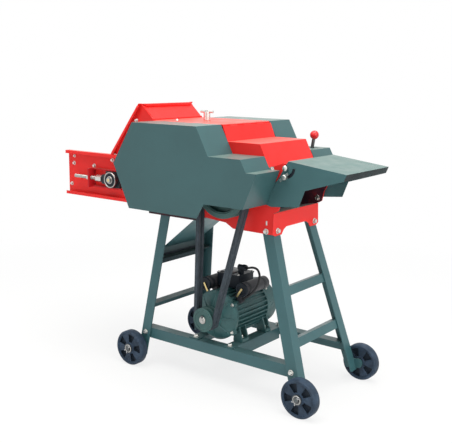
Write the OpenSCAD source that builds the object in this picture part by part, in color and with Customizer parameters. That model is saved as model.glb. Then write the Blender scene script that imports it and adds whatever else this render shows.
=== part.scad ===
// Electric chaff cutter on a wheeled stand, in millimetres.
// +X runs from the feed end to the outlet end, -Y is the drive (belt) side, +Z is up.
// The origin is on the floor, under the middle of the machine.

/* [Wheels] */
// Diameter of the transport wheels
wheel_d = 130; // [126:1:134]
// Tread width of the transport wheels
wheel_w = 34; // [30:1:36]
// Diameter of the stub axles
axle_d = 16; // [12:1:18]

/* [Stand] */
// Flange width of the leg angles
leg_w = 40; // [36:1:44]
// Wall thickness of every steel angle
angle_t = 4; // [3:0.5:4]
// Forward lean of the outlet legs, run per rise
outlet_lean = 0.31; // [0.28:0.01:0.33]
// Backward lean of the feed legs, run per rise
feed_lean = 0.131; // [0.1:0.001:0.14]
// Sideways splay of all four legs, run per rise
leg_splay = 0.1; // [0.095:0.001:0.104]
// Height of the top face of the two base rails
rail_z = 145; // [140:1:149]
// Flange width of the base rails
rail_w = 39; // [35:1:41]
// Flange width of the cross bars
bar_w = 30; // [26:1:32]

/* [Body] */
// Height of the flat top of the machine
deck_z = 905; // [905:1:909]
// Outer face of each body side plate from the middle
plate_y = 137; // [137:0.5:138]
// Thickness of the body side plates
plate_t = 4; // [3:0.5:4]
// Thickness of the pressed sheet
sheet_t = 2; // [1.5:0.5:2]
// Outer face of each side cover from the middle
cover_y = 274; // [272:1:280]

/* [Cutting drum] */
// Distance of the drum axis from the middle, towards the outlet
drum_x = 194; // [193:0.5:195]
// Height of the drum axis
drum_z = 704; // [703:0.5:705]
// Radius of the circle that the blade edges sweep
blade_r = 118; // [116:0.5:119]
// Number of blades on the drum
blade_count = 4; // [3:1:6]
// Diameter of the drum shaft
drum_shaft_d = 35; // [30:1:36]
// Outside diameter of the drum pulley
drum_pulley_d = 204; // [200:1:206]

/* [Motor] */
// Distance of the motor axis from the middle, towards the outlet
motor_x = 122; // [120:1:124]
// Height of the motor axis above its rails
motor_h = 90; // [88:1:92]
// Outside diameter of the cooling fins
motor_d = 172; // [168:1:174]
// Number of fin places round the motor
fin_count = 32; // [28:1:36]
// Outside diameter of the motor pulley
motor_pulley_d = 84; // [80:1:86]

/* [Feed] */
// Distance of the feed roller axes from the middle
roller_x = 10; // [8:1:11]
// Height of the lower feed roller axis
lower_z = 660; // [659:1:661]
// Radius of the upper feed roller over its ribs
upper_r = 52; // [50:0.5:52]
// Radius of the lower feed roller over its ribs
lower_r = 45; // [43:0.5:45]
// Lift of the sprung upper feed roller
roller_lift = 25; // [15:1:25]
// Length of the machine from the trough end to the hood lip
machine_l = 1240; // [1238:1:1250]

/* [Hidden] */
$fn = 48;
eps = 0.01;
run_gap = 0.05;
clear = 0.4;

// Stand
wheel_r = wheel_d / 2;
leg_top_x = 356;
leg_top_z = 559;
leg_top_y = 132.4;
feed_top_x = -134;
feed_top_z = 566;
leg_foot_z = 42;
outlet_leg_end = 604;
feed_leg_end = 624;
wheel_y = 205;
axle_end_y = wheel_y + wheel_w / 2 + 9;
outlet_wheel_x = 521;
feed_wheel_x = -215;
lug_l = 38;
lug_r = 17;
lug_t = 6;
rail_y = leg_y(rail_z) - angle_t - 1.4;
rail_x0 = -178;
rail_x1 = 470;
motor_rail_x = [49, 200];
motor_rail_w = 40;
rail_top = rail_z + angle_t;
foot_bolt_y = [-80, 58];

// Body
inner_y = plate_y - plate_t;
deck_t = 3;
deck_x0 = -163;
hinge_x = 145;
hinge_z = deck_z - 4;
hinge_r = 4;
body_top = deck_z - deck_t;
apron_x = 358;
apron_t = 3;
apron_top = 630;
cover_in_y = 142.5;
step_z = 812;
cover_path = [
    [-155, 607], [-228, 759], [-137, deck_z], [145, deck_z], [195, step_z],
    [322, step_z], [344, 772], [383, 772], [334, 657]
];
cover_foot = [[179, 657], [149, 607]];
cover_studs = [[-115, 869], [112, 874], [-125, 629]];

// Hood
hood_y = 141.2;
hood_pivot = [405, 781];
hood_slot_r = 28;
hood_tip_x = machine_l / 2;
hood_path = [[412, 803], [hood_tip_x, 778], [hood_tip_x - 9, 757]];

// Drum and its drive
belt_y = [-193, -174];
pulley_y0 = -204;
pulley_y1 = -163;
belt_top_w = 17;
belt_h = 11;
groove_slope = tan(19);
drum_half = 125;
drum_c = [drum_x, drum_z];
motor_z = rail_top + motor_h;
motor_c = [motor_x, motor_z];
drum_pulley_r = drum_pulley_d / 2;
motor_pulley_r = motor_pulley_d / 2;

// Feed rollers and their gears
roller_gear_m = 8;
roller_gear_n = 13;
upper_z = lower_z + roller_gear_m * roller_gear_n;
lower_c = [roller_x, lower_z];
upper_c = [roller_x, upper_z];
roller_half = 117;
roller_shaft_r = 12.5;
drive_m = 4;
pinion_n = 14;
input_n = 34;
input_angle = 194.5;
input_c = drum_c + drive_m * (pinion_n + input_n) / 2 * [cos(input_angle), sin(input_angle)];
roller_gear_y = [163, 181];
drive_gear_y = [186, 200];
gearbox_y = 205;
pressure_angle = 25;
yoke_w = 46;
bridge_z = [822, 830];
screw_x = -29;
screw_r = 8;
collar_z = 890;
spring_r = 13;
wire_r = 2;
spring_turns = 5;
spring_z = [bridge_z[1] + wire_r + 0.3, collar_z - wire_r - 0.2];
spring_pitch = (spring_z[1] - spring_z[0]) / spring_turns;
echo(spring_gap_at_rest = spring_pitch - 2 * wire_r);
echo(spring_gap_lifted = (spring_z[1] - spring_z[0] - roller_lift) / spring_turns - 2 * wire_r);

// Conveyor
head_c = [-85, 674];
tail_c = [-364, 674];
belt_roller_r = 28;
belt_t = 4;
belt_half = 118;
conveyor_shaft_r = 10;
trough_x0 = -machine_l / 2;
trough_z0 = 597;
trough_z1 = 769;
trough_lap = -100;
trough_t = 3;

// Shift lever
lever_y = 225;
lever_pivot = [264, 729];
lever_tilt = 9.3;
lever_r = 6;
knob_r = 16;
knob_rise = 131;

// Leg corner distance from the middle at height z
function leg_y(z) = leg_top_y + leg_splay * (leg_top_z - z);
function outlet_leg_x(z) = leg_top_x + outlet_lean * (leg_top_z - z);
function feed_leg_x(z) = feed_top_x - feed_lean * (feed_top_z - z);

// Path offset to its left by d, with mitred corners
function left_of(a, b) = let (v = (b - a) / norm(b - a)) [-v[1], v[0]];
function offset_point(p, i, d) =
    let (n1 = left_of(p[max(i - 1, 0)], p[max(i, 1)]))
    let (n2 = left_of(p[min(i, len(p) - 2)], p[min(i + 1, len(p) - 1)]))
    p[i] + d * (n1 + n2) / (1 + n1 * n2);
function offset_path(p, d) = [for (i = [0 : len(p) - 1]) offset_point(p, i, d)];
function reversed(p) = [for (i = [len(p) - 1 : -1 : 0]) p[i]];

// Involute gear outline: half the tooth's angle at radius r
function roll_angle(r, rb) = r <= rb ? 0 : sqrt(pow(r / rb, 2) - 1) * 180 / PI;
function involute_angle(r, rb) = let (t = roll_angle(r, rb)) t - atan(t * PI / 180);
function half_tooth(r, m, n) =
    let (rp = m * n / 2)
    let (rb = rp * cos(pressure_angle))
    90 / n - clear / rp * 180 / PI + involute_angle(rp, rb) - involute_angle(r, rb);
function flank_radii(m, n) =
    let (root = m * n / 2 - 1.25 * m)
    let (start = max(root + eps, m * n / 2 * cos(pressure_angle)))
    let (tip = m * n / 2 + 0.95 * m)
    concat([root], [for (k = [0 : 3]) start + (tip - start) * k / 3]);
function gear_points(m, n) = let (radii = flank_radii(m, n)) [
    for (k = [0 : n - 1])
        for (side = [-1, 1])
            for (r = side < 0 ? radii : reversed(radii))
                let (a = 360 * k / n + side * half_tooth(r, m, n))
                r * [cos(a), sin(a)]
];

// Pitch radius of a half-inch chain sprocket
function sprocket_r(teeth) = 12.7 / 2 / sin(180 / teeth);

// Round tube swept along points, as one closed skin
function path_frame(p, i) =
    let (t = p[min(i + 1, len(p) - 1)] - p[max(i - 1, 0)])
    let (d = t / norm(t))
    let (ref = abs(d[2]) < 0.9 ? [0, 0, 1] : [1, 0, 0])
    let (u = cross(d, ref) / norm(cross(d, ref)))
    [u, cross(d, u)];
module swept_tube(p, r, sides) {
    rings = [for (i = [0 : len(p) - 1]) let (f = path_frame(p, i))
        for (s = [0 : sides - 1]) p[i] + r * (cos(360 * s / sides) * f[0] + sin(360 * s / sides) * f[1])];
    skin = [for (i = [0 : len(p) - 2]) for (s = [0 : sides - 1])
        let (a = i * sides + s) let (b = i * sides + (s + 1) % sides)
        for (face = [[a, b, a + sides], [b, b + sides, a + sides]]) face];
    last = (len(p) - 1) * sides;
    ends = [for (s = [1 : sides - 2]) for (face = [[0, s + 1, s], [last, last + s, last + s + 1]]) face];
    polyhedron(rings, [for (f = concat(skin, ends)) reversed(f)]);
}

// A flat outline in X and Z, thick from y0 to y1
module slab(y0, y1) {
    translate([0, y1, 0]) rotate([90, 0, 0]) linear_extrude(y1 - y0) children();
}
module rod(c, y0, y1, r) {
    translate([c[0], y1, c[1]]) rotate([90, 0, 0]) cylinder(h = y1 - y0, r = r);
}
module on_gear_side() {
    mirror([0, 1, 0]) children();
}
module both_sides() {
    children();
    on_gear_side() children();
}
module strip(path, t) {
    polygon(concat(path, reversed(offset_path(path, t))));
}
module ell(a, b) {
    polygon([[0, 0], [a, 0], [a, angle_t], [angle_t, angle_t], [angle_t, b], [0, b]]);
}
module gear(c, m, n, turn, y) {
    slab(y[0], y[1]) translate(c) rotate(turn) polygon(gear_points(m, n));
}

// A closed band round two wheels: profile x is the radius, profile y the width
module band_profile(r, inner, h_in, h_out) {
    polygon([[r - inner, -h_in], [r, -h_out], [r, h_out], [r - inner, h_in]]);
}
module band_arc(c, r, from, sweep, size) {
    translate(c) rotate(from) rotate_extrude(angle = sweep) band_profile(r, size[0], size[1], size[2]);
}
module band_run(c, r, turn, start, length, size) {
    lap = 0.5;
    inset = 0.05;
    translate(c) rotate([0, 0, turn]) translate([0, start + length + lap, 0]) rotate([90, 0, 0])
        linear_extrude(length + 2 * lap)
            band_profile(r - inset, size[0] - 2 * inset, size[1] - inset, size[2] - inset);
}
module band(c1, r1, c2, r2, size) {
    span = norm(c1 - c2);
    axis = atan2(c1[1] - c2[1], c1[0] - c2[0]);
    wrap = acos((r2 - r1) / span);
    run = sqrt(span * span - pow(r1 - r2, 2));
    band_arc(c1, r1, axis - wrap, 2 * wrap, size);
    band_arc(c2, r2, axis + wrap, 360 - 2 * wrap, size);
    band_run(c1, r1, axis + wrap, 0, run, size);
    band_run(c1, r1, axis - wrap, -run, run, size);
}
module band_at(y, c1, r1, c2, r2, size) {
    translate([0, y, 0]) rotate([90, 0, 0]) band(c1, r1, c2, r2, size);
}

// Stand: legs, rails and bars
module between_heights(z0, z1) {
    intersection() {
        children();
        translate([-machine_l, -machine_l, z0]) cube([2 * machine_l, 2 * machine_l, z1 - z0]);
    }
}
module lean(run) {
    rotate([-asin(leg_splay / norm([run, leg_splay, 1])), atan(run), 0]) children();
}
module stub_axle(x, towards) {
    lug_y = leg_y(wheel_r - lug_r) + 0.5;
    rod([x, wheel_r], -axle_end_y, -lug_y + lug_t, axle_d / 2);
    rod([x, wheel_r], -lug_y, -lug_y + lug_t, lug_r);
    slab(-lug_y, -lug_y + lug_t) translate([x + towards * lug_l / 2, wheel_r])
        square([lug_l, 2 * lug_r - 4], center = true);
}
module outlet_leg() {
    reach = leg_top_z - leg_foot_z + 80;
    union() {
        between_heights(leg_foot_z, outlet_leg_end)
            translate([leg_top_x, -leg_top_y, leg_top_z]) lean(-outlet_lean)
                translate([0, 0, -reach]) linear_extrude(reach + 80) mirror([1, 0]) ell(leg_w, leg_w);
        stub_axle(outlet_wheel_x, -1);
    }
}
module feed_leg() {
    reach = feed_top_z - leg_foot_z + 80;
    union() {
        between_heights(leg_foot_z, feed_leg_end)
            translate([feed_top_x, -leg_y(feed_top_z), feed_top_z]) lean(feed_lean)
                translate([0, 0, -reach]) linear_extrude(reach + 120) ell(leg_w, leg_w);
        stub_axle(feed_wheel_x, 1);
    }
}
module leg_feed_drive() { color("darkslategray") feed_leg(); }
module leg_feed_gear() { color("darkslategray") on_gear_side() feed_leg(); }
module leg_outlet_drive() { color("darkslategray") outlet_leg(); }
module leg_outlet_gear() { color("darkslategray") on_gear_side() outlet_leg(); }

module slot_hole(x, y, l, r, z0, z1) {
    translate([x, y, z0]) linear_extrude(z1 - z0) {
        for (s = [-1, 1]) translate([s * (l / 2 - r), 0]) circle(r);
        square([l - 2 * r, 2 * r], center = true);
    }
}
module rail() {
    rail_slot_y = rail_y - rail_w / 2 - 2;
    difference() {
        translate([rail_x0, -rail_y, rail_z]) rotate([90, 0, 90])
            linear_extrude(rail_x1 - rail_x0) mirror([0, 1]) ell(rail_w, rail_w);
        for (x = motor_rail_x) slot_hole(x, -rail_slot_y, 46, 5.5, rail_z - 2 * angle_t, rail_z + 1);
    }
}
module base_rails() { color("darkslategray") both_sides() rail(); }

module motor_rails() {
    half = rail_y - 4;
    web_half = rail_y - rail_w - 1;
    color("darkslategray")
        for (i = [0, 1]) difference() {
            union() {
                translate([motor_rail_x[i] - motor_rail_w / 2, -half, rail_z])
                    cube([motor_rail_w, 2 * half, angle_t]);
                translate([motor_rail_x[i] + (i == 0 ? -1 : 1) * (motor_rail_w - angle_t) / 2 - angle_t / 2,
                    -web_half, rail_z - rail_w]) cube([angle_t, 2 * web_half, rail_w + eps]);
            }
            for (y = foot_bolt_y)
                translate([motor_rail_x[i], y, rail_z - 1]) cylinder(h = 2 * angle_t, r = 5.5);
        }
}

module outlet_bar(z) {
    half = leg_y(z) - angle_t - 2;
    translate([outlet_leg_x(z), 0, z]) rotate([0, -atan(outlet_lean), 0])
        translate([-angle_t, half, 0]) rotate([90, 0, 0]) linear_extrude(2 * half)
            mirror([1, 0]) mirror([0, 1]) ell(bar_w, bar_w);
}
module feed_bar(z) {
    half = leg_y(z) - angle_t - 2;
    leg_gap = 0.1;
    translate([feed_leg_x(z), 0, z]) rotate([0, atan(feed_lean), 0])
        translate([angle_t + leg_gap, half, 0]) rotate([90, 0, 0]) linear_extrude(2 * half)
            mirror([0, 1]) ell(bar_w, bar_w);
}
module outlet_bars() { color("darkslategray") for (z = [390, 228]) outlet_bar(z); }
module feed_bars() { color("darkslategray") for (z = [409, 240]) feed_bar(z); }

// Wheels
module wheel(x) {
    half = wheel_w / 2;
    hub_r = axle_d / 2 + 12;
    face = half - 3;
    web = 5;
    pocket = [23, wheel_r - 13];
    pockets = 6;
    pocket_sweep = 30;
    first_pocket = 43;
    half_profile = [
        [axle_d / 2 + run_gap, -half - 1], [hub_r, -half - 1], [hub_r + 1, -face], [pocket[1] + 2, -face],
        [pocket[1] + 3, -half], [wheel_r - 4, -half], [wheel_r, -half + 5]
    ];
    profile = concat(half_profile, [for (p = reversed(half_profile)) [p[0], -p[1]]]);
    translate([x, -wheel_y, wheel_r]) rotate([90, 0, 0]) difference() {
        rotate_extrude() polygon(profile);
        for (side = [0, 1]) mirror([0, 0, side])
            for (k = [0 : pockets - 1]) rotate(360 * k / pockets + first_pocket - pocket_sweep / 2)
                rotate_extrude(angle = pocket_sweep)
                    translate([pocket[0], web]) square([pocket[1] - pocket[0], half]);
    }
}
module wheel_feed_drive() { color("dimgray") wheel(feed_wheel_x); }
module wheel_feed_gear() { color("dimgray") on_gear_side() wheel(feed_wheel_x); }
module wheel_outlet_drive() { color("dimgray") wheel(outlet_wheel_x); }
module wheel_outlet_gear() { color("dimgray") on_gear_side() wheel(outlet_wheel_x); }

module wheel_retainers() {
    y = wheel_y + wheel_w / 2 + 1.5;
    washer_r = axle_d / 2 + 9;
    color("silver") both_sides()
        for (x = [feed_wheel_x, outlet_wheel_x]) difference() {
            rod([x, wheel_r], -y - 3, -y, washer_r);
            rod([x, wheel_r], -y - 4, -y + 1, axle_d / 2);
        }
}

// Body plates
foot_z = 584;
plate_outline = [
    [-168, 598], [-162, foot_z], [60, foot_z], [165, 576], [196, 559], [apron_x, 558], [apron_x, 631],
    [366, 633], [378, 640], [386, 674], [424, 742], [424, 784], [414, 795], [394, 795], [360, 784],
    [350, 770], [168, 770], [141, 889], [141, body_top], [-168, body_top]
];
module side_plate(with_slot) {
    slot_w = 2 * roller_shaft_r + 4;
    guide_x = yoke_w / 2 + clear + 3;
    foot = [-160, 60];
    foot_w = 30;
    foot_lip = 10;
    difference() {
        union() {
            slab(-plate_y, -inner_y) polygon(plate_outline);
            translate([foot[0], -plate_y - foot_w, foot_z]) cube([foot[1] - foot[0], foot_w + eps, 3]);
            translate([foot[0], -plate_y - foot_w, foot_z - foot_lip])
                cube([foot[1] - foot[0], 3, foot_lip + eps]);
            for (s = [-1, 1]) translate([roller_x + s * guide_x - 3, -inner_y - eps, 784]) cube([6, 8, 105]);
            if (with_slot) {
                rod(lever_pivot, -lever_y - 12, -plate_y + eps, 6);
                rod(lever_pivot, -lever_y + 8 + clear, -plate_y + eps, 9);
            }
        }
        slab(-plate_y - 1, -inner_y + 1) translate([330, 588]) square([5, 14]);
        rod(drum_c, -plate_y - 1, -inner_y + 1, drum_shaft_d / 2 + 8);
        rod(lower_c, -plate_y - 1, -inner_y + 1, roller_shaft_r + 3);
        rod(head_c, -plate_y - 1, -inner_y + 1, conveyor_shaft_r + 3);
        rod(hood_pivot, -plate_y - 1, -inner_y + 1, 5.2);
        rod(hood_pivot - [0, hood_slot_r], -plate_y - 1, -inner_y + 1, 5.2);
        if (with_slot) slab(-plate_y - 1, -inner_y + 1) {
            for (z = [0, roller_lift]) translate(upper_c + [0, z]) circle(slot_w / 2);
            translate(upper_c + [-slot_w / 2, 0]) square([slot_w, roller_lift]);
        }
    }
}
module side_plate_drive() { color("firebrick") side_plate(false); }
module side_plate_gear() { color("firebrick") on_gear_side() side_plate(true); }

module apron() {
    half = 139;
    lobe = 80;
    corner = 10;
    bolt = [115, 570];
    right = [
        [half, apron_top], [half + 4, 562], [half - corner, 554], [lobe + corner, 554],
        [lobe - 2, 569], [lobe - 18, 577]
    ];
    outline = concat(right, [for (p = reversed(right)) [-p[0], p[1]]]);
    color("firebrick") translate([apron_x, 0, 0]) rotate([90, 0, 90]) linear_extrude(apron_t) difference() {
        polygon(outline);
        for (s = [-1, 1]) translate([s * bolt[0], bolt[1]]) circle(5.5);
    }
}

module hinge_knuckles(first) {
    count = 7;
    pitch = 2 * plate_y / count;
    for (i = [first : 2 : count - 1])
        let (y = -plate_y + i * pitch)
        slab(y + 0.2, y + pitch - 0.2) children();
}
module deck() {
    nut_h = 6;
    color("firebrick") difference() {
        union() {
            slab(-140, 140) polygon([
                [deck_x0, body_top], [hinge_x - hinge_r - 0.6, body_top],
                [hinge_x - hinge_r - 0.6, deck_z], [deck_x0, deck_z]
            ]);
            hinge_knuckles(0) {
                translate([hinge_x, hinge_z]) circle(hinge_r);
                translate([hinge_x - 6, body_top]) square([6, deck_t]);
            }
            rod([hinge_x, hinge_z], -plate_y, plate_y, 1.75);
            translate([screw_x, 0, body_top - nut_h]) cylinder(h = nut_h + eps, r = 17.3, $fn = 6);
        }
        translate([screw_x, 0, body_top - nut_h - 1]) cylinder(h = nut_h + 6, r = screw_r + run_gap);
    }
}
module pressure_screw() {
    tip_z = 844;
    bar_z = deck_z + 31;
    bar_l = 56;
    boss_z = deck_z + 0.5;
    color("silver") translate([screw_x, 0, 0]) union() {
        translate([0, 0, tip_z]) cylinder(h = bar_z - tip_z, r = screw_r);
        translate([0, 0, collar_z]) cylinder(h = 5, r = 18);
        translate([0, 0, boss_z]) cylinder(h = bar_z - boss_z, r = 12);
        translate([-bar_l / 2, 0, bar_z]) rotate([0, 90, 0]) cylinder(h = bar_l, r = 4.5);
    }
}
module pressure_spring() {
    rings = 8 * spring_turns;
    coil = [for (i = [0 : rings]) [
        screw_x + spring_r * cos(45 * i), spring_r * sin(45 * i), spring_z[0] + spring_pitch * i / 8
    ]];
    color("dimgray") swept_tube(coil, wire_r, 6);
}

module concave() {
    r = blade_r + 6;
    half = inner_y - 0.1;
    from = 196;
    sweep = 120;
    end = from + sweep;
    tail = drum_c + r * [cos(end), sin(end)];
    under = drum_c + (r + sheet_t) * [cos(end), sin(end)];
    edge_x = apron_x - 0.2;
    color("gray") union() {
        translate([drum_x, half, drum_z]) rotate([90, 0, 0]) rotate(from) rotate_extrude(angle = sweep)
            translate([r, 0]) square([sheet_t, 2 * half]);
        slab(-half, half) polygon([under, [edge_x, apron_top - sheet_t], [edge_x, apron_top], tail]);
    }
}
module bed_knife() {
    edge = [drum_x - blade_r - 3, 705];
    outline = [
        [-16, -31], [-4, -31], [-4, -7], [0, -7], [0, 0], [-4, 1], [-26, 1], [-26, -7], [-16, -7]
    ];
    color("silver") slab(-inner_y + 0.1, inner_y - 0.1) translate(edge) polygon(outline);
}

// Covers
module drum_cover() {
    lip = [hinge_x + 7, deck_z - 5.5];
    path = [lip, [173, 850], [302, 850], [339, 778]];
    wall = concat(path, [[356, 778], [356, 764], [180, 760], [150, 864]]);
    leaf = [[hinge_x + 1, hinge_z + 3.5], lip + [1, -2.5], lip + [-1, -3.5], [hinge_x + 1, hinge_z - 3.5]];
    color("red") difference() {
        union() {
            slab(-140, 140) strip(path, -sheet_t);
            both_sides() slab(-140, -138) difference() {
                polygon(wall);
                translate([350, 772]) circle(3.2);
            }
            hinge_knuckles(1) {
                translate([hinge_x, hinge_z]) circle(hinge_r);
                polygon(leaf);
            }
        }
        rod([hinge_x, hinge_z], -plate_y - 1, plate_y + 1, 1.8);
    }
}

module side_cover() {
    union() {
        slab(-cover_y, -cover_y + sheet_t) polygon(concat(cover_path, cover_foot));
        slab(-cover_y, -cover_in_y) strip(cover_path, -sheet_t);
        for (c = cover_studs) rod(c, -cover_y + eps, -plate_y, 5);
    }
}
module cover_drive() { color("darkslategray") side_cover(); }
module cover_gear() {
    slot_l = 58;
    slot_x = lever_pivot[0] + tan(lever_tilt) * (step_z - lever_pivot[1]);
    color("darkslategray") difference() {
        on_gear_side() side_cover();
        slot_hole(slot_x, lever_y, slot_l, lever_r + 2.5, step_z - 8, step_z + 12);
    }
}

module hood() {
    lower = [[475, 715], [454, 661], [352, 651], [326, 658], [350, 714], [374, 741], [394, 774]];
    slot_from = -112;
    slot_sweep = 112;
    color("darkslategray") union() {
        slab(-hood_y, hood_y) strip(hood_path, -sheet_t);
        both_sides() difference() {
            slab(-hood_y, -hood_y + sheet_t) polygon(concat(hood_path, lower));
            rod(hood_pivot, -hood_y - 1, -hood_y + sheet_t + 1, 5 + run_gap);
            translate([hood_pivot[0], -hood_y + sheet_t + 1, hood_pivot[1]]) rotate([90, 0, 0])
                rotate(slot_from) rotate_extrude(angle = slot_sweep)
                    translate([hood_slot_r - 5.4, 0]) square([10.8, sheet_t + 2]);
        }
    }
}
module hood_clamps() {
    color("silver") both_sides() {
        rod(hood_pivot, -hood_y - 9, -inner_y + 6, 5);
        rod(hood_pivot, -hood_y - 9, -hood_y - 0.4, 9);
        rod(hood_pivot - [0, hood_slot_r], -hood_y - 12, -inner_y + 6, 5);
        rod(hood_pivot - [0, hood_slot_r], -hood_y - 9, -hood_y - 0.4, 9);
        slab(-hood_y - 14, -hood_y - 9) translate(hood_pivot - [0, hood_slot_r]) rotate(40)
            square([38, 9], center = true);
    }
}

module drop_chute() {
    half = 104;
    foot = [-148, 410.5];
    slope = 0.82;
    bend_z = 437;
    top_x = 20;
    top_z = bend_z + slope * (top_x - foot[0]);
    tab_l = 40;
    path = [foot, [foot[0], bend_z], [top_x, top_z], [top_x + tab_l, top_z]];
    color("slategray") union() {
        slab(-half, half) strip(path, sheet_t);
        both_sides() translate([top_x + 4, -inner_y, top_z]) {
            cube([tab_l - 4, inner_y - half + 1, sheet_t]);
            cube([tab_l - 4, 3, tab_l]);
        }
    }
}

// Feed trough and hopper
module trough_side() {
    lip_y = 150;
    lip_h = 12;
    flange_x = -232;
    slot_half = 30;
    difference() {
        union() {
            translate([trough_x0, -inner_y, trough_z0])
                cube([trough_lap - trough_x0, trough_t, trough_z1 - trough_z0]);
            translate([trough_x0, 0, 0]) rotate([90, 0, 90]) linear_extrude(flange_x - trough_x0) {
                polygon([
                    [-lip_y, trough_z1 - lip_h], [-lip_y + 2, trough_z1 - lip_h], [-lip_y + 2, trough_z1 - 2],
                    [-inner_y + eps, trough_z1 - 2], [-inner_y + eps, trough_z1], [-lip_y, trough_z1]
                ]);
                polygon([
                    [-lip_y, trough_z0], [-inner_y + eps, trough_z0], [-inner_y + eps, trough_z0 + 2],
                    [-lip_y + 2, trough_z0 + 2], [-lip_y + 2, trough_z0 + lip_h], [-lip_y, trough_z0 + lip_h]
                ]);
            }
        }
        translate([tail_c[0] - slot_half, -inner_y - 1, tail_c[1] - conveyor_shaft_r - 2])
            cube([2 * slot_half, trough_t + 2, 2 * conveyor_shaft_r + 4]);
    }
}
module trough_drive() { color("firebrick") trough_side(); }
module trough_gear() { color("firebrick") on_gear_side() trough_side(); }

module trough_floor() {
    half = inner_y - trough_t - 0.05;
    table = [[trough_x0, 674], [trough_x0, 700], [tail_c[0] - belt_roller_r - belt_t - 6, 704]];
    bed_z = head_c[1] + belt_roller_r - 3;
    color("gray") {
        slab(-half, half) strip(table, -sheet_t);
        translate([-322, -half, bed_z - sheet_t]) cube([196, 2 * half, sheet_t]);
    }
}

module hopper_side() {
    peak = [-223, 962];
    back = [-170, 912];
    front = [-368, trough_z1 + 1.5];
    t = 2.5;
    lip = 14;
    union() {
        slab(-inner_y - 3.5, -inner_y - 3.5 + t) polygon([front, [-170, trough_z1 + 0.1], back, peak]);
        slab(-inner_y - 3.5 - lip, -inner_y - 3.5 + eps) strip([front, peak], -2);
    }
}
module hopper_sides() { color("firebrick") both_sides() hopper_side(); }
module hopper_back() {
    half = inner_y - 0.1;
    path = [[-212, 956], [-212, 961], [-225, 961], [-166, 908], [-166, 864]];
    color("red") slab(-half, half) strip(path, 2);
}

// Conveyor
module conveyor_belt() {
    r = belt_roller_r + belt_t + clear;
    cleat = 6;
    color("dimgray") union() {
        band_at(0, head_c, r, tail_c, r, [belt_t, belt_half, belt_half]);
        for (x = [-345 : 48 : -80])
            for (z = [head_c[1] + r - 0.5, head_c[1] - r - cleat + 0.5])
                translate([x, -belt_half + 6, z]) cube([8, 2 * belt_half - 12, cleat]);
    }
}
module head_roller() {
    color("gray") union() {
        rod(head_c, -belt_half - 4, belt_half + 4, belt_roller_r);
        rod(head_c, -178, 158, conveyor_shaft_r);
        sprocket(head_c, 10);
    }
}
module sprocket(c, teeth) {
    r = sprocket_r(teeth);
    root = 2 * r / teeth;
    tooth = [[0, -root], [r - 2, -2.6], [r + 3, -1], [r + 3, 1], [r - 2, 2.6], [0, root]];
    slab(-173, -165) translate(c) for (k = [0 : teeth - 1]) rotate(360 * k / teeth) polygon(tooth);
    rod(c, -173, -160, r - 6);
}
module tail_roller() {
    color("gray") union() {
        rod(tail_c, -belt_half - 4, belt_half + 4, belt_roller_r);
        rod(tail_c, -170, 170, conveyor_shaft_r);
    }
}

module take_up_frames() {
    guide = 31;
    color("firebrick") both_sides() {
        for (z = [guide, -guide - 5]) translate([-470, -inner_y - 13, tail_c[1] + z]) cube([150, 13, 5]);
        difference() {
            translate([-476, -inner_y - 36, tail_c[1] - guide - 5]) cube([6, 36, 2 * guide + 10]);
            translate([-478, -inner_y - 20, tail_c[1]]) rotate([0, 90, 0]) cylinder(h = 10, r = 7.5);
        }
    }
}
module take_up_blocks() {
    color("dimgray") both_sides() difference() {
        union() {
            translate([tail_c[0] - 38, -inner_y - 12, tail_c[1] - 30]) cube([72, 11.5, 60]);
            rod(tail_c, -inner_y - 27, -inner_y - 13.5, 30.5);
            rod(tail_c, -inner_y - 14, -inner_y - 6, 29);
            translate([tail_c[0] - 46, -inner_y - 26, tail_c[1] - 17]) cube([26, 22, 34]);
        }
        rod(tail_c, -inner_y - 40, -inner_y + 1, conveyor_shaft_r + run_gap);
    }
}
module take_up_screws() {
    y = -inner_y - 20;
    from_x = -560;
    to_x = tail_c[0] - 46;
    nut_l = 30;
    color("silver") both_sides() translate([0, y, tail_c[1]]) rotate([0, 90, 0]) {
        translate([0, 0, from_x]) cylinder(h = to_x - from_x, r = 7);
        translate([0, 0, -488]) cylinder(h = 12, r = 13, $fn = 6);
        translate([0, 0, to_x - nut_l]) cylinder(h = nut_l, r = 14, $fn = 6);
    }
}

// Bearings
module flange_unit(c, size, bore_r) {
    difference() {
        union() {
            slab(-plate_y - 11, -plate_y) translate(c - [size / 2, size / 2]) square(size);
            rod(c, -plate_y - 21, -plate_y, size * 0.36);
        }
        rod(c, -plate_y - 22, -plate_y + 1, bore_r + run_gap);
    }
}
module body_bearings() {
    color("dimgray") both_sides() {
        flange_unit(drum_c, 100, drum_shaft_d / 2);
        flange_unit(lower_c, 76, roller_shaft_r);
        flange_unit(head_c, 60, conveyor_shaft_r);
    }
}

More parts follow.
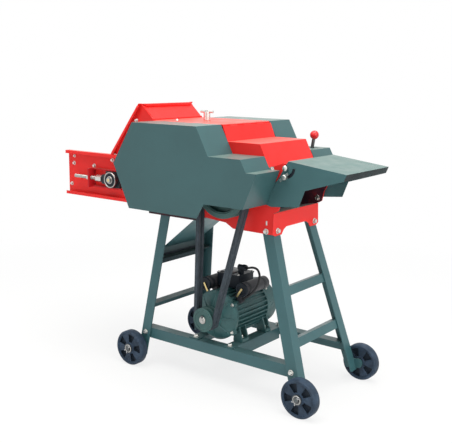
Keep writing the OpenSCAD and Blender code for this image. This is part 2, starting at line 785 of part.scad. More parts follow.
// Drum and belt drive
module blade_outline(grow) {
    for (k = [0 : blade_count - 1]) rotate(360 * k / blade_count + 45)
        polygon([[84 - grow, -7], [109, -7], [blade_r, 5], [blade_r, 7], [84 - grow, 7]]);
}
module drum() {
    disc_t = 10;
    discs = [-drum_half, -disc_t / 2, drum_half - disc_t];
    color("dimgray") union() {
        rod(drum_c, -207, 206, drum_shaft_d / 2);
        for (y = discs) slab(y, y + disc_t) translate(drum_c) difference() {
            circle(104);
            for (k = [0 : blade_count - 1])
                rotate(360 * k / blade_count + 45) translate([84, -7]) square([30, 14]);
        }
    }
}
module drum_blades() {
    color("silver") slab(-drum_half, drum_half) translate(drum_c) blade_outline(0);
}
function groove(r, depth, mid, top, bottom) = [
    [r, mid - top], [r - depth, mid - bottom], [r - depth, mid + bottom], [r, mid + top]
];
module pulley(c, r, web_holes) {
    y_mid = (belt_y[0] + belt_y[1]) / 2;
    half = (pulley_y1 - pulley_y0) / 2;
    depth = belt_h + 2;
    top = belt_top_w / 2 + clear;
    bottom = top - depth * groove_slope;
    pitch = (belt_y[1] - belt_y[0]) / 2;
    web = min(half, 8);
    hub = drum_shaft_d / 2 + 18;
    rim = r - depth - 9;
    grooves = concat(groove(r, depth, -pitch, top, bottom), groove(r, depth, pitch, top, bottom));
    outer = concat([[r, -half]], grooves, [[r, half]]);
    inner = rim > hub + 10
        ? [[rim, half], [rim - 2, web], [hub + 2, web], [hub, half], [0, half], [0, -half], [hub, -half],
            [hub + 2, -web], [rim - 2, -web], [rim, -half]]
        : [[0, half], [0, -half]];
    translate([c[0], y_mid, c[1]]) rotate([90, 0, 0]) difference() {
        rotate_extrude() polygon(concat(outer, inner));
        if (web_holes > 0) for (k = [0 : web_holes - 1]) rotate(360 * k / web_holes)
            translate([(rim + hub) / 2, 0, -half]) cylinder(h = 2 * half, r = (rim - hub) / 2 - 6);
    }
}
module drum_pulley() {
    color("darkslategray") difference() {
        pulley(drum_c, drum_pulley_r, 6);
        rod(drum_c, pulley_y0 - 5, pulley_y1 + 5, drum_shaft_d / 2);
    }
}
module drum_pinion() {
    color("gray") difference() {
        gear(drum_c, drive_m, pinion_n, input_angle, drive_gear_y);
        rod(drum_c, drive_gear_y[0] - 1, drive_gear_y[1] + 1, drum_shaft_d / 2);
    }
}
module v_belts() {
    size = [belt_h, belt_top_w / 2 - belt_h * groove_slope, belt_top_w / 2];
    proud = 0.6;
    color("dimgray") for (y = belt_y)
        band_at(y, drum_c, drum_pulley_r + proud, motor_c, motor_pulley_r + proud, size);
}

// Motor
stator_y = [-115, 75];
stator_r = motor_d / 2 - 10;
module motor_stator() {
    fin_w = 4;
    foot_x = 75;
    foot_w = 40;
    foot_t = 12;
    foot_pads = [[-100, -60], [42, 74]];
    gusset_t = 6;
    color("darkslategray") difference() {
        union() {
            rod(motor_c, stator_y[0], stator_y[1], stator_r);
            rod(motor_c, stator_y[1] - 8, stator_y[1], motor_d / 2 - 0.6);
            slab(stator_y[0] + 4, stator_y[1] - 4) translate(motor_c) for (k = [0 : fin_count - 1])
                rotate(360 * (k + 0.5) / fin_count) translate([stator_r - 4, -fin_w / 2]) square([14, fin_w]);
            for (s = [-1, 1]) for (pad = foot_pads) {
                translate([motor_x + s * foot_x - foot_w / 2, pad[0], rail_top])
                    cube([foot_w, pad[1] - pad[0], foot_t]);
                for (y = [pad[0], pad[1] - gusset_t]) slab(y, y + gusset_t) translate([motor_x, rail_top])
                    polygon([[s * 58, 4], [s * 94, 4], [s * 78, 56], [s * 50, 44]]);
            }
        }
        for (s = [-1, 1]) for (y = foot_bolt_y)
            translate([motor_x + s * foot_x, y, rail_top - 1]) cylinder(h = foot_t + 6, r = 5.5);
        rod(motor_c, stator_y[0] - 1, stator_y[1] - 12, 40);
        rod(motor_c, stator_y[0], stator_y[1] + 1, 13 + run_gap);
    }
}
module motor_end_bell() {
    rim_r = motor_d / 2 + 2;
    y1 = stator_y[0];
    ear_r = 11;
    profile = [
        [13 + run_gap, 0], [rim_r, 0], [rim_r, 10], [rim_r - 8, 16],
        [62, 24], [40, 32], [36, 40], [13 + run_gap, 40]
    ];
    color("darkslategray") difference() {
        union() {
            translate([motor_x, y1, motor_z]) rotate([90, 0, 0]) rotate_extrude() polygon(profile);
            for (a = [35, 145, 215, 325]) rod(motor_c + (rim_r - 2) * [cos(a), sin(a)], y1 - 14, y1, ear_r);
        }
        rod(motor_c, y1 - 12, y1 + 1, 38);
    }
}
module motor_cowl() {
    y0 = stator_y[1];
    r = motor_d / 2 - 1;
    end = 60;
    profile = [
        [14, end - 2], [r - 12, end - 2], [r - 2, end - 12], [r - 2, 0],
        [r, 0], [r, end - 11], [r - 11, end], [14, end]
    ];
    slots = 16;
    color("darkslategray") difference() {
        translate([motor_x, y0, motor_z]) rotate([-90, 0, 0]) rotate_extrude() polygon(profile);
        slab(y0 + end - 3, y0 + end + 1) translate(motor_c) for (k = [0 : slots - 1])
            rotate(360 * k / slots) translate([26, -3]) square([36, 6]);
    }
}
module motor_rotor() {
    blades = 6;
    color("silver") union() {
        rod(motor_c, -207, 118, 13);
        rod(motor_c, stator_y[0] + 3, stator_y[1] - 16, 36);
        slab(stator_y[1] + 8, stator_y[1] + 14) translate(motor_c) circle(64);
        slab(stator_y[1] + 13, stator_y[1] + 40) translate(motor_c) for (k = [0 : blades - 1])
            rotate(360 * k / blades) translate([10, -2]) square([58, 4]);
    }
}
module motor_pulley() {
    color("darkslategray") difference() {
        pulley(motor_c, motor_pulley_r, 0);
        rod(motor_c, pulley_y0 - 5, pulley_y1 + 5, 13);
    }
}
box_x = [72, 166];
box_y = [-58, 30];
box_z = [motor_z + motor_d / 2 + 1, motor_z + motor_d / 2 + 44];
lid_t = 5;
module terminal_box() {
    neck = 30;
    neck_z = motor_z + stator_r - 10;
    color("dimgray") union() {
        difference() {
            translate([motor_x - neck, box_y[0] + 14, neck_z]) cube([2 * neck, 60, box_z[0] - neck_z + eps]);
            rod(motor_c, box_y[0], box_y[1], motor_d / 2 + 0.4);
        }
        translate([box_x[0], box_y[0], box_z[0]])
            cube([box_x[1] - box_x[0], box_y[1] - box_y[0], box_z[1] - box_z[0]]);
        translate([box_x[0] - 2, box_y[0] - 2, box_z[1] - eps])
            cube([box_x[1] - box_x[0] + 4, box_y[1] - box_y[0] + 4, lid_t]);
        difference() {
            union() {
                translate(gland_c - [0, 0, gland_rise + eps]) cylinder(h = gland_rise, r = 12, $fn = 6);
                translate(gland_c - [10, 0, 0]) rotate([0, 90, 0]) cylinder(h = 32, r = 10);
                translate(gland_c + [10, 0, 0]) rotate([0, 90, 0]) cylinder(h = 12, r = 12, $fn = 6);
            }
            translate(lead_start - [2, 0, 0]) rotate([0, 90, 0]) cylinder(h = 40, r = lead_r + 0.9);
        }
    }
}
capacitor_c = [[48, 334], [210, 340]];
capacitor_r = 23;
module capacitors() {
    y = [-98, 35];
    color("dimgray") for (i = [0, 1]) {
        side = i == 0 ? -1 : 1;
        difference() {
            union() {
                rod(capacitor_c[i], y[0], y[1], capacitor_r);
                if (i == 1) at_capacitor_boss() cylinder(h = boss_h, r = 8);
                slab(i == 1 ? -92 : -60, -30) polygon([
                    capacitor_c[i] + [-side * 10, 0], capacitor_c[i] + [side * 8, -14],
                    motor_c + 70 * [side * cos(35), sin(35)], motor_c + 70 * [side * cos(55), sin(55)]
                ]);
            }
            rod(motor_c, y[0] - 1, y[1] + 1, motor_d / 2 + 0.4);
            if (i == 1) at_capacitor_boss() translate([0, 0, boss_h - 8]) cylinder(h = 9, r = lead_r + 0.9);
        }
    }
}
module at_capacitor_boss() {
    translate([motor_x, lead_end[1], motor_z]) rotate([0, 90 - boss_angle, 0])
        translate([0, 0, boss_from]) children();
}
// The lead leaves the gland level, hangs in a loop and enters the foot of the outlet capacitor from outside
lead_r = 4;
gland_rise = 21;
gland_c = [148, -20, box_z[1] + lid_t + gland_rise];
lead_start = gland_c + [14, 0, 0];
boss_angle = 36.87;
boss_from = motor_d / 2 + 2;
boss_h = 16;
lead_way = [cos(boss_angle), 0, sin(boss_angle)];
lead_end = [motor_x, -84, motor_z] + (boss_from + boss_h - 6) * lead_way;
lead_stops = [
    lead_start - [10, 0, 0], lead_start, lead_start + [14, 0, 1],
    [203, -25, 403], [229, -34, 401], [247, -47, 384], [252, -62, 360], [245, -75, 338], [229, -82, 319.5],
    lead_end + 14 * lead_way, lead_end, lead_end - 10 * lead_way
];
function between(a, b, c, d, t) =
    let (cubic = 3 * b - a - 3 * c + d)
    b + t / 2 * (c - a + t * (2 * a - 5 * b + 4 * c - d + t * cubic));
lead_route = concat(
    [for (i = [1 : len(lead_stops) - 3]) for (t = [0 : 0.34 : 0.7])
        between(lead_stops[i - 1], lead_stops[i], lead_stops[i + 1], lead_stops[i + 2], t)],
    [lead_end]
);
function path_length(p, i = 0) = i >= len(p) - 1 ? 0 : norm(p[i + 1] - p[i]) + path_length(p, i + 1);
echo(capacitor_lead_length = path_length(lead_route));
module capacitor_lead() {
    color("black") swept_tube(lead_route, lead_r, 8);
}

// Feed rollers, gearbox and lever
module ribbed_roller(c, r, ribs) {
    rib_w = 9;
    slab(-roller_half, roller_half) translate(c) {
        circle(r - 8);
        for (k = [0 : ribs - 1]) rotate(360 * k / ribs) translate([r - 10, -rib_w / 2]) square([10, rib_w]);
    }
}
module lower_roller() {
    color("gray") union() {
        ribbed_roller(lower_c, lower_r, 12);
        rod(lower_c, -178, 210, roller_shaft_r);
        gear(lower_c, roller_gear_m, roller_gear_n, 90, roller_gear_y);
        sprocket(lower_c, 14);
    }
}
module upper_roller() {
    color("gray") union() {
        ribbed_roller(upper_c, upper_r, 10);
        rod(upper_c, -130, 184, roller_shaft_r);
        gear(upper_c, roller_gear_m, roller_gear_n, -90 + 180 / roller_gear_n, roller_gear_y);
    }
}
module roller_yoke() {
    arm_y = [-inner_y + clear, -121.5];
    arm_w = yoke_w;
    bridge_t = bridge_z[1] - bridge_z[0];
    tongue_x = -56;
    tongue_half = 60;
    color("slategray") difference() {
        union() {
            both_sides() slab(arm_y[0], arm_y[1]) {
                translate([roller_x - arm_w / 2, upper_z]) square([arm_w, bridge_z[1] - upper_z]);
                translate(upper_c) circle(arm_w / 2);
            }
            translate([roller_x - arm_w / 2, arm_y[0], bridge_z[0]]) cube([arm_w, -2 * arm_y[0], bridge_t]);
            translate([tongue_x, -tongue_half, bridge_z[0]])
                cube([roller_x - arm_w / 2 - tongue_x + eps, 2 * tongue_half, bridge_t]);
        }
        rod(upper_c, -140, 140, roller_shaft_r + run_gap);
        translate([screw_x, 0, bridge_z[0] - 1]) cylinder(h = 20, r = 9);
    }
}
module feed_gearbox() {
    posts = [[-68, 719], [-40, 599], [150, 609], [80, 784]];
    housing_r = 44;
    waist_r = 40;
    y = [gearbox_y, gearbox_y + 8, gearbox_y + 56];
    axis = atan2(input_c[1] - lower_z, input_c[0] - roller_x);
    color("slategray") difference() {
        union() {
            slab(y[0], y[1]) polygon([for (p = posts) p + 0.12 * (p - lower_c)]);
            slab(y[1] - eps, y[2]) {
                translate(lower_c) circle(housing_r);
                translate(input_c) circle(housing_r);
                translate(lower_c) rotate(axis) translate([0, -waist_r])
                    square([norm(input_c - lower_c), 2 * waist_r]);
            }
            for (p = posts) rod(p, plate_y, y[0] + eps, 7);
        }
        rod(lower_c, y[0] - 1, y[0] + 6, roller_shaft_r + run_gap);
        rod(input_c, y[0] - 1, y[0] + 6, roller_shaft_r + run_gap);
    }
}
module input_gear() {
    turn = input_angle - 180 + 180 / input_n;
    color("gray") union() {
        gear(input_c, drive_m, input_n, turn, drive_gear_y);
        rod(input_c, drive_gear_y[0] - 6, gearbox_y + 5, roller_shaft_r);
    }
}
module feed_chain() {
    link_t = 1.7;
    link_h = 8;
    tooth_y = [-173, -165];
    r1 = sprocket_r(14);
    r2 = sprocket_r(10);
    axis = atan2(lower_c[1] - head_c[1], lower_c[0] - head_c[0]);
    wrap = acos((r2 - r1) / norm(lower_c - head_c));
    size = [link_h, link_t / 2, link_t / 2];
    color("dimgray") union() {
        for (y = [tooth_y[0] - clear - link_t / 2, tooth_y[1] + clear + link_t / 2])
            band_at(y, lower_c, r1 + link_h / 2, head_c, r2 + link_h / 2, size);
        for (side = [-1, 1])
            for (s = [30 : 12.7 : 65])
                let (a = axis + side * wrap)
                let (pin_c = lower_c + r1 * [cos(a), sin(a)] + side * s * [-sin(a), cos(a)])
                rod(pin_c, tooth_y[0] - 1.5, tooth_y[1] + 1.5, 2.5);
    }
}
module at_lever() {
    translate([lever_pivot[0], lever_y, lever_pivot[1]]) rotate([0, lever_tilt, 0]) children();
}
module shift_lever() {
    foot = 34;
    color("silver") at_lever() difference() {
        union() {
            translate([0, 0, -foot]) cylinder(h = foot + knob_rise - knob_r + 4, r = lever_r);
            rotate([90, 0, 0]) translate([0, 0, -8]) cylinder(h = 16, r = 12);
        }
        rotate([90, 0, 0]) translate([0, 0, -9]) cylinder(h = 18, r = 6 + run_gap);
    }
}
module shift_knob() {
    color("red") at_lever() difference() {
        translate([0, 0, knob_rise]) sphere(knob_r);
        translate([0, 0, knob_rise - knob_r - 1]) cylinder(h = 5, r = lever_r);
    }
}

leg_feed_drive();
leg_feed_gear();
leg_outlet_drive();
leg_outlet_gear();
base_rails();
motor_rails();
outlet_bars();
feed_bars();
wheel_feed_drive();
wheel_feed_gear();
wheel_outlet_drive();
wheel_outlet_gear();
wheel_retainers();
side_plate_drive();
side_plate_gear();
apron();
deck();
concave();
bed_knife();
pressure_screw();
drum_cover();
cover_drive();
cover_gear();
hood();
hood_clamps();
drop_chute();
trough_drive();
trough_gear();
trough_floor();
hopper_sides();
hopper_back();
conveyor_belt();
head_roller();
tail_roller();
take_up_frames();
take_up_blocks();
take_up_screws();
body_bearings();
drum();
drum_blades();
drum_pulley();
drum_pinion();
v_belts();
motor_stator();
motor_end_bell();
motor_cowl();
motor_rotor();
motor_pulley();
terminal_box();
capacitors();
capacitor_lead();
lower_roller();
upper_roller();
roller_yoke();
feed_gearbox();
shift_lever();
shift_knob();
pressure_spring();
input_gear();
feed_chain();
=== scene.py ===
"""Looks of the chaff cutter: finishes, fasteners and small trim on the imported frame."""

import math

import bmesh
import bpy
from mathutils import Matrix, Vector


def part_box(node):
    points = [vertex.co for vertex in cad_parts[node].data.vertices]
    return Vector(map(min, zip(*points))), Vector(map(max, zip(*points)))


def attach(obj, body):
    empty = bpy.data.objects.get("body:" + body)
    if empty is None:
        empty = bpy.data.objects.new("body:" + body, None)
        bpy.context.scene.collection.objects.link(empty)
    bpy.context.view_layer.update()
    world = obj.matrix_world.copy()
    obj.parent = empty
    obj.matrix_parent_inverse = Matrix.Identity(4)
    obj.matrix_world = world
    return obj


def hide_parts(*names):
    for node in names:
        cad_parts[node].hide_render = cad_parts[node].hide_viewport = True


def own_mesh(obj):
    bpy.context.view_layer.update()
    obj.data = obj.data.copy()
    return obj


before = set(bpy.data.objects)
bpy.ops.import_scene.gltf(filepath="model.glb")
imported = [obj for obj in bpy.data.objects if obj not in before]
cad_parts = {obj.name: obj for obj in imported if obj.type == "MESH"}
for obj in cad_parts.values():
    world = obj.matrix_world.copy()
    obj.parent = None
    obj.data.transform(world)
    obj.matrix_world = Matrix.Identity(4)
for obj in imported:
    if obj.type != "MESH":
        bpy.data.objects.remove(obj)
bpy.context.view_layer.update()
scene = bpy.context.scene
MM = 0.001
STAND = "machine"
SIDES = (-1, 1)
RIGHT = (1, 0, 0)
NEAR = (0, -1, 0)
FAR = (0, 1, 0)
UP = (0, 0, 1)

# Places on the machine, in millimetres; a centre seen from the side is (x, z)
MOTOR = (122, 239)
DRUM = (194, 704)
LOWER_ROLLER = (10, 660)
HEAD_ROLLER = (-85, 674)
TAIL_ROLLER = (-364, 674)
HOOD_PIVOT = (405, 781)
WHEEL_X = (-215, 521)
WHEEL_Y = 205
WHEEL_R = 65
WHEEL_BORE = 8.05
AXLE_END_Y = 226
CAPACITORS = ((48, 334), (210, 340))
CAPACITOR_R = 23
CAPACITOR_FRONT = -98
CAPACITOR_REAR = 35
LID_TOP = 374
TROUGH_Y = 133
TAKE_UP_SCREW_Y = 153
HOPPER_Y = 136.5
PLATE_Y = 137
BEARING_FLANGE = 11
DECK_TOP = 905
CLEAT_RISE = 5.5
SPRING_X = -29
SPRING_Z = (832, 888)
SPRING_WIRE = 4
LEVER_FOOT = (264, 225, 729)
LEVER_LEAN = 9.3
LEVER_R = 6
KNOB_RISE = 131
KNOB_R = 16

# Where painted shade starts and stops on its piece, in millimetres
PLATE_INSIDE_Y = 133.5
PLATE_FOOT_TOP = 593
PLATE_FOOT_END = 66
LIP_X = 600
CHUTE_FADE = (405, 475)
UPPER_BAR_Z = 370
POCKET_HALF = 13
POCKET_R = 53.5


# Camera at the photograph's place

def set_camera():
    yaw = math.radians(37.26)
    pitch = math.radians(10.91)
    roll = math.radians(0.67)
    place = (1.7156, -2.1734, 1.0729)
    level = math.cos(pitch)
    back = Vector((math.sin(yaw) * level, -math.cos(yaw) * level, math.sin(pitch)))
    right = Vector((math.cos(yaw), math.sin(yaw), 0))
    up = back.cross(right)
    turned_right = right * math.cos(roll) + up * math.sin(roll)
    turned_up = up * math.cos(roll) - right * math.sin(roll)
    lens = bpy.data.cameras.new("photo_camera")
    lens.sensor_fit = "HORIZONTAL"
    lens.sensor_width = 36
    lens.lens = 61.39
    lens.clip_end = 200
    camera = bpy.data.objects.new("photo_camera", lens)
    scene.collection.objects.link(camera)
    turn = Matrix((turned_right, turned_up, back)).transposed().to_4x4()
    camera.matrix_world = Matrix.Translation(place) @ turn
    scene.camera = camera


# Node tools, for finishes and for copied fasteners alike

def fill(tree, node, inputs):
    """Fills a node's inputs, by name or number, from sockets or plain values."""
    for label, value in inputs.items():
        if isinstance(value, bpy.types.NodeSocket):
            tree.links.new(value, node.inputs[label])
        else:
            node.inputs[label].default_value = value


def put(tree, kind, inputs=None, **settings):
    """Adds a node, sets its settings, then fills its inputs."""
    node = tree.nodes.new(kind)
    for label, value in settings.items():
        setattr(node, label, value)
    fill(tree, node, inputs or {})
    return node


def made(tree, kind, inputs=None, **settings):
    """Adds a node and gives its first output."""
    return put(tree, kind, inputs, **settings).outputs[0]


def reckon(tree, operation, first, second=0.0):
    """One sum on numbers, in a shader tree or a geometry tree."""
    return made(tree, "ShaderNodeMath", {0: first, 1: second}, operation=operation)


def vector_sum(tree, operation, first, second=(0, 0, 0), result="Vector"):
    return put(tree, "ShaderNodeVectorMath", {0: first, 1: second}, operation=operation).outputs[result]


def vector_of(tree, **axes):
    """A vector from its X, Y and Z; an axis that isn't named is 0."""
    return made(tree, "ShaderNodeCombineXYZ", axes)


def axes_of(tree, vector):
    """The X, Y and Z of a vector."""
    return put(tree, "ShaderNodeSeparateXYZ", {"Vector": vector}).outputs


# Finishes: tools

def blank(name):
    """A new material, its tree, its shader and the Object coordinates that its patterns read."""
    material = bpy.data.materials.new(name)
    material.use_nodes = True
    tree = material.node_tree
    place = tree.nodes.new("ShaderNodeTexCoord").outputs["Object"]
    return material, tree, tree.nodes["Principled BSDF"], place


def wire(tree, shader, **values):
    """Fills the shader's inputs; an underscore in a name stands for a space."""
    fill(tree, shader, {label.replace("_", " "): value for label, value in values.items()})


def facing_out(tree):
    """The axes of the way a face looks, in the object's own frame."""
    return axes_of(tree, tree.nodes.new("ShaderNodeTexCoord").outputs["Normal"])


def noise(tree, place, scale, detail=3.0, roughness=0.55):
    inputs = {"Vector": place, "Scale": scale, "Detail": detail, "Roughness": roughness}
    return made(tree, "ShaderNodeTexNoise", inputs)


def span(tree, value, low, high, new_low, new_high):
    """Stretches a range of a value onto a new range."""
    inputs = {"Value": value, "From Min": low, "From Max": high, "To Min": new_low, "To Max": new_high}
    return made(tree, "ShaderNodeMapRange", inputs)


def drift(tree, place, scale, detail, low, high):
    """Noise that wanders between two values."""
    return span(tree, noise(tree, place, scale, detail), 0.3, 0.7, low, high)


def patches(tree, place, scale, low, high, most=1.0, detail=5.0, roughness=0.62):
    """Noise cut to patches: 0 outside them and most in their middle."""
    return span(tree, noise(tree, place, scale, detail, roughness), low, high, 0, most)


def bands(tree, place, axis, pitch, profile="SIN", distortion=0.0):
    """Lines across one axis, a pitch apart in millimetres."""
    inputs = {"Vector": place, "Scale": math.pi / 10 / (pitch * MM), "Distortion": distortion}
    return put(tree, "ShaderNodeTexWave", inputs, bands_direction=axis, wave_profile=profile).outputs["Fac"]


def mix_colour(tree, share, first, second):
    mix = put(tree, "ShaderNodeMix", {"Factor": share}, data_type="RGBA")
    for label, colour in (("A", first), ("B", second)):
        entry = next(s for s in mix.inputs if s.name == label and s.type == "RGBA")
        if isinstance(colour, bpy.types.NodeSocket):
            tree.links.new(colour, entry)
        else:
            entry.default_value = (*colour, 1)
    return next(s for s in mix.outputs if s.type == "RGBA")


def rounded_normal(tree, radius):
    return made(tree, "ShaderNodeBevel", {"Radius": radius * MM}, samples=4)


def edge_wear(tree, radius, broken):
    """Broken patches along sharp edges, 0 on flat faces."""
    flat_match = 0.97
    edge_match = 0.75
    flat = tree.nodes.new("ShaderNodeNewGeometry").outputs["Normal"]
    match = vector_sum(tree, "DOT_PRODUCT", flat, rounded_normal(tree, radius), "Value")
    return reckon(tree, "MULTIPLY", span(tree, match, flat_match, edge_match, 0, 1), broken)


def bump(tree, height, strength, distance, normal):
    inputs = {"Strength": strength, "Distance": distance * MM, "Height": height, "Normal": normal}
    return made(tree, "ShaderNodeBump", inputs)


def shade(colour, factor):
    return tuple(min(1.0, channel * factor) for channel in colour)


# Finishes: painted shade, and dust with a painted highlight

def plate_painted_shade(tree, place):
    """Painted shade: 1 on a side plate's inner face and on its foot flange, 0 elsewhere."""
    axes = axes_of(tree, place)
    inside = reckon(tree, "LESS_THAN", reckon(tree, "ABSOLUTE", axes["Y"]), PLATE_INSIDE_Y * MM)
    low = reckon(tree, "LESS_THAN", axes["Z"], PLATE_FOOT_TOP * MM)
    foot = reckon(tree, "MULTIPLY", low, reckon(tree, "LESS_THAN", axes["X"], PLATE_FOOT_END * MM))
    return reckon(tree, "MAXIMUM", inside, foot)


def lip_painted_shade(tree, place):
    """Painted shade: 1 on the turned-down lip of the hood, 0 elsewhere."""
    forward = reckon(tree, "GREATER_THAN", facing_out(tree)["X"], 0.5)
    at_tip = reckon(tree, "GREATER_THAN", axes_of(tree, place)["X"], LIP_X * MM)
    return reckon(tree, "MULTIPLY", at_tip, forward)


def chute_painted_shade(tree, place):
    """Painted shade: 1 at the chute's foot, fading to 0 further up."""
    low, high = CHUTE_FADE
    return span(tree, axes_of(tree, place)["Z"], low * MM, high * MM, 1, 0)


def bar_painted_shadow(tree, place):
    """Painted shadow of the chute: 1 on the upper feed bar, 0 on the lower one."""
    return reckon(tree, "GREATER_THAN", axes_of(tree, place)["Z"], UPPER_BAR_Z * MM)


def pocket_shade(tree, place):
    """Painted shade: 1 in the pockets of a wheel, 0 on its spokes, rim and tread."""
    axes = axes_of(tree, place)
    from_axles = [reckon(tree, "ABSOLUTE", reckon(tree, "SUBTRACT", axes["X"], x * MM)) for x in WHEEL_X]
    aside = reckon(tree, "MINIMUM", *from_axles)
    above = reckon(tree, "SUBTRACT", axes["Z"], WHEEL_R * MM)
    radius = vector_sum(tree, "LENGTH", vector_of(tree, X=aside, Z=above), result="Value")
    from_middle = reckon(tree, "SUBTRACT", reckon(tree, "ABSOLUTE", axes["Y"]), WHEEL_Y * MM)
    sunk = reckon(tree, "LESS_THAN", reckon(tree, "ABSOLUTE", from_middle), POCKET_HALF * MM)
    return reckon(tree, "MULTIPLY", sunk, reckon(tree, "LESS_THAN", radius, POCKET_R * MM))


def dust_and_top_highlight(tree, place, most):
    """Pale dust on faces that look up, which also paints a highlight on them."""
    level = span(tree, facing_out(tree)["Z"], 0.8, 0.97, 0, 1)
    return reckon(tree, "MULTIPLY", level, drift(tree, place, 30, 6, 0.75 * most, most))


# Finishes: recipes

def enamel(name, colour, chip, rough, gloss, shade_mask=None, stain_and_shade_tone=(0, 0, 0), dust=0.2):
    """Sprayed enamel on sheet: slow drift of tone, masked painted shade, dust and painted highlight on upward
    faces, orange peel runs, chipped edges.
    """
    material, tree, shader, place = blank(name)
    tone = mix_colour(tree, drift(tree, place, 4.5, 4, 0, 1), shade(colour, 0.92), shade(colour, 1.07))
    # Painted shade: the masked places darken towards the shade's tone
    if shade_mask:
        uneven = span(tree, noise(tree, place, 16, 5), 0.25, 0.6, 0.9, 0.99)
        share = reckon(tree, "MULTIPLY", shade_mask(tree, place), uneven)
        tone = mix_colour(tree, share, tone, stain_and_shade_tone)
    # Dust on faces that look up, lightened further as a painted highlight
    tone = mix_colour(tree, dust_and_top_highlight(tree, place, dust), tone, DUST_AND_HIGHLIGHT)
    dusty = mix_colour(tree, patches(tree, place, 24, 0.56, 0.8, 0.3, 7), tone, shade(colour, 0.74))
    flecked = mix_colour(tree, patches(tree, place, 310, 0.66, 0.74, 0.22, 2), dusty, shade(colour, 1.6))
    chipped = edge_wear(tree, 1.5, patches(tree, place, 130, 0.5, 0.66, 0.7, 4))
    worn = mix_colour(tree, chipped, flecked, chip)
    sheen = drift(tree, place, 18, 5, rough - 0.06, rough + 0.12)
    skin = bump(tree, noise(tree, place, 420, 2), 0.1, 0.25, rounded_normal(tree, 1.4))
    wire(tree, shader, Base_Color=worn, Roughness=sheen, Normal=skin, Specular_IOR_Level=gloss)
    return material


def casting(name, colour, chip, rough):
    """Painted sand casting: coarse skin under the paint, dark hollows and rubbed corners."""
    material, tree, shader, place = blank(name)
    patch = span(tree, noise(tree, place, 14, 6), 0.35, 0.68, 0, 1)
    tone = mix_colour(tree, patch, shade(colour, 0.78), shade(colour, 1.12))
    oily = mix_colour(tree, patches(tree, place, 40, 0.58, 0.72, 0.5), tone, shade(colour, 0.45))
    rubbed = edge_wear(tree, 1.4, patches(tree, place, 170, 0.48, 0.62, 0.7, 3))
    worn = mix_colour(tree, rubbed, oily, chip)
    sheen = drift(tree, place, 60, 4, rough - 0.1, rough + 0.12)
    skin = bump(tree, noise(tree, place, 260, 5, 0.7), 0.35, 0.5, rounded_normal(tree, 1.8))
    wire(tree, shader, Base_Color=worn, Roughness=sheen, Normal=skin, Specular_IOR_Level=0.4)
    return material


def bare_metal(name, colour, rough, along, stain_and_shade_tone=(0.22, 0.17, 0.12), stain_share=0.25):
    """Bare or plated metal: fine drawn lines, stains and a blotched sheen."""
    material, tree, shader, place = blank(name)
    lines = noise(tree, vector_sum(tree, "MULTIPLY", place, along), 60, 3)
    tone = mix_colour(tree, span(tree, lines, 0.3, 0.7, 0, 1), shade(colour, 0.85), shade(colour, 1.1))
    marked = mix_colour(tree, patches(tree, place, 34, 0.57, 0.78, stain_share, 6, 0.68), tone, stain_and_shade_tone)
    sheen = drift(tree, place, 45, 4, rough - 0.08, rough + 0.14)
    skin = bump(tree, lines, 0.1, 0.1, rounded_normal(tree, 0.6))
    wire(tree, shader, Base_Color=marked, Roughness=sheen, Normal=skin, Metallic=1.0)
    return material


def threaded(name, colour, axis, pitch, centre, across, thread_r, twins=False):
    """Plated screw: ridges within the thread's radius of its centre line, painted shade in their grooves,
    plain plating on nuts and bars.

    Twins are a pair of screws, one on each side of the machine.
    """
    material, tree, shader, place = blank(name)
    room = 0.6
    ridge = bands(tree, place, axis, pitch, "TRI")
    on_one_side = vector_sum(tree, "ABSOLUTE", place) if twins else place
    off_centre = vector_sum(tree, "SUBTRACT", on_one_side, tuple(c * MM for c in centre))
    radius = vector_sum(tree, "LENGTH", vector_sum(tree, "MULTIPLY", off_centre, across), result="Value")
    on_thread = reckon(tree, "LESS_THAN", radius, (thread_r + room) * MM)
    # Painted shade in the thread's grooves
    groove_shade = reckon(tree, "MULTIPLY", on_thread, reckon(tree, "SUBTRACT", 1.0, ridge))
    plate = mix_colour(tree, patches(tree, place, 40, 0.55, 0.75, 0.3), colour, (0.3, 0.24, 0.17))
    tone = mix_colour(tree, groove_shade, plate, shade(colour, 0.35))
    sheen = drift(tree, place, 70, 4, 0.22, 0.4)
    skin = bump(tree, reckon(tree, "MULTIPLY", ridge, on_thread), 0.8, pitch * 0.4, rounded_normal(tree, 0.8))
    wire(tree, shader, Base_Color=tone, Roughness=sheen, Normal=skin, Metallic=1.0)
    return material


def rubber(name, colour, rough, pebble, shaded=None):
    """Moulded rubber: pale dust in patches, painted shade where a mask is given, and a fine pebbled skin."""
    material, tree, shader, place = blank(name)
    dust = patches(tree, place, 26, 0.44, 0.78, 0.5, 7, 0.66)
    dusty = mix_colour(tree, dust, colour, shade(colour, 3.4))
    # Painted shade in the masked places, such as a wheel's pockets
    if shaded:
        share = reckon(tree, "MULTIPLY", shaded(tree, place), 0.9)
        dusty = mix_colour(tree, share, dusty, shade(colour, 0.4))
    scuff = edge_wear(tree, 1.6, patches(tree, place, 90, 0.45, 0.65, 0.5))
    worn = mix_colour(tree, scuff, dusty, shade(colour, 5))
    sheen = drift(tree, place, 80, 4, rough - 0.1, rough + 0.15)
    skin = bump(tree, noise(tree, place, pebble, 4, 0.7), 0.3, 0.3, rounded_normal(tree, 1.5))
    wire(tree, shader, Base_Color=worn, Roughness=sheen, Normal=skin, Specular_IOR_Level=0.25)
    return material


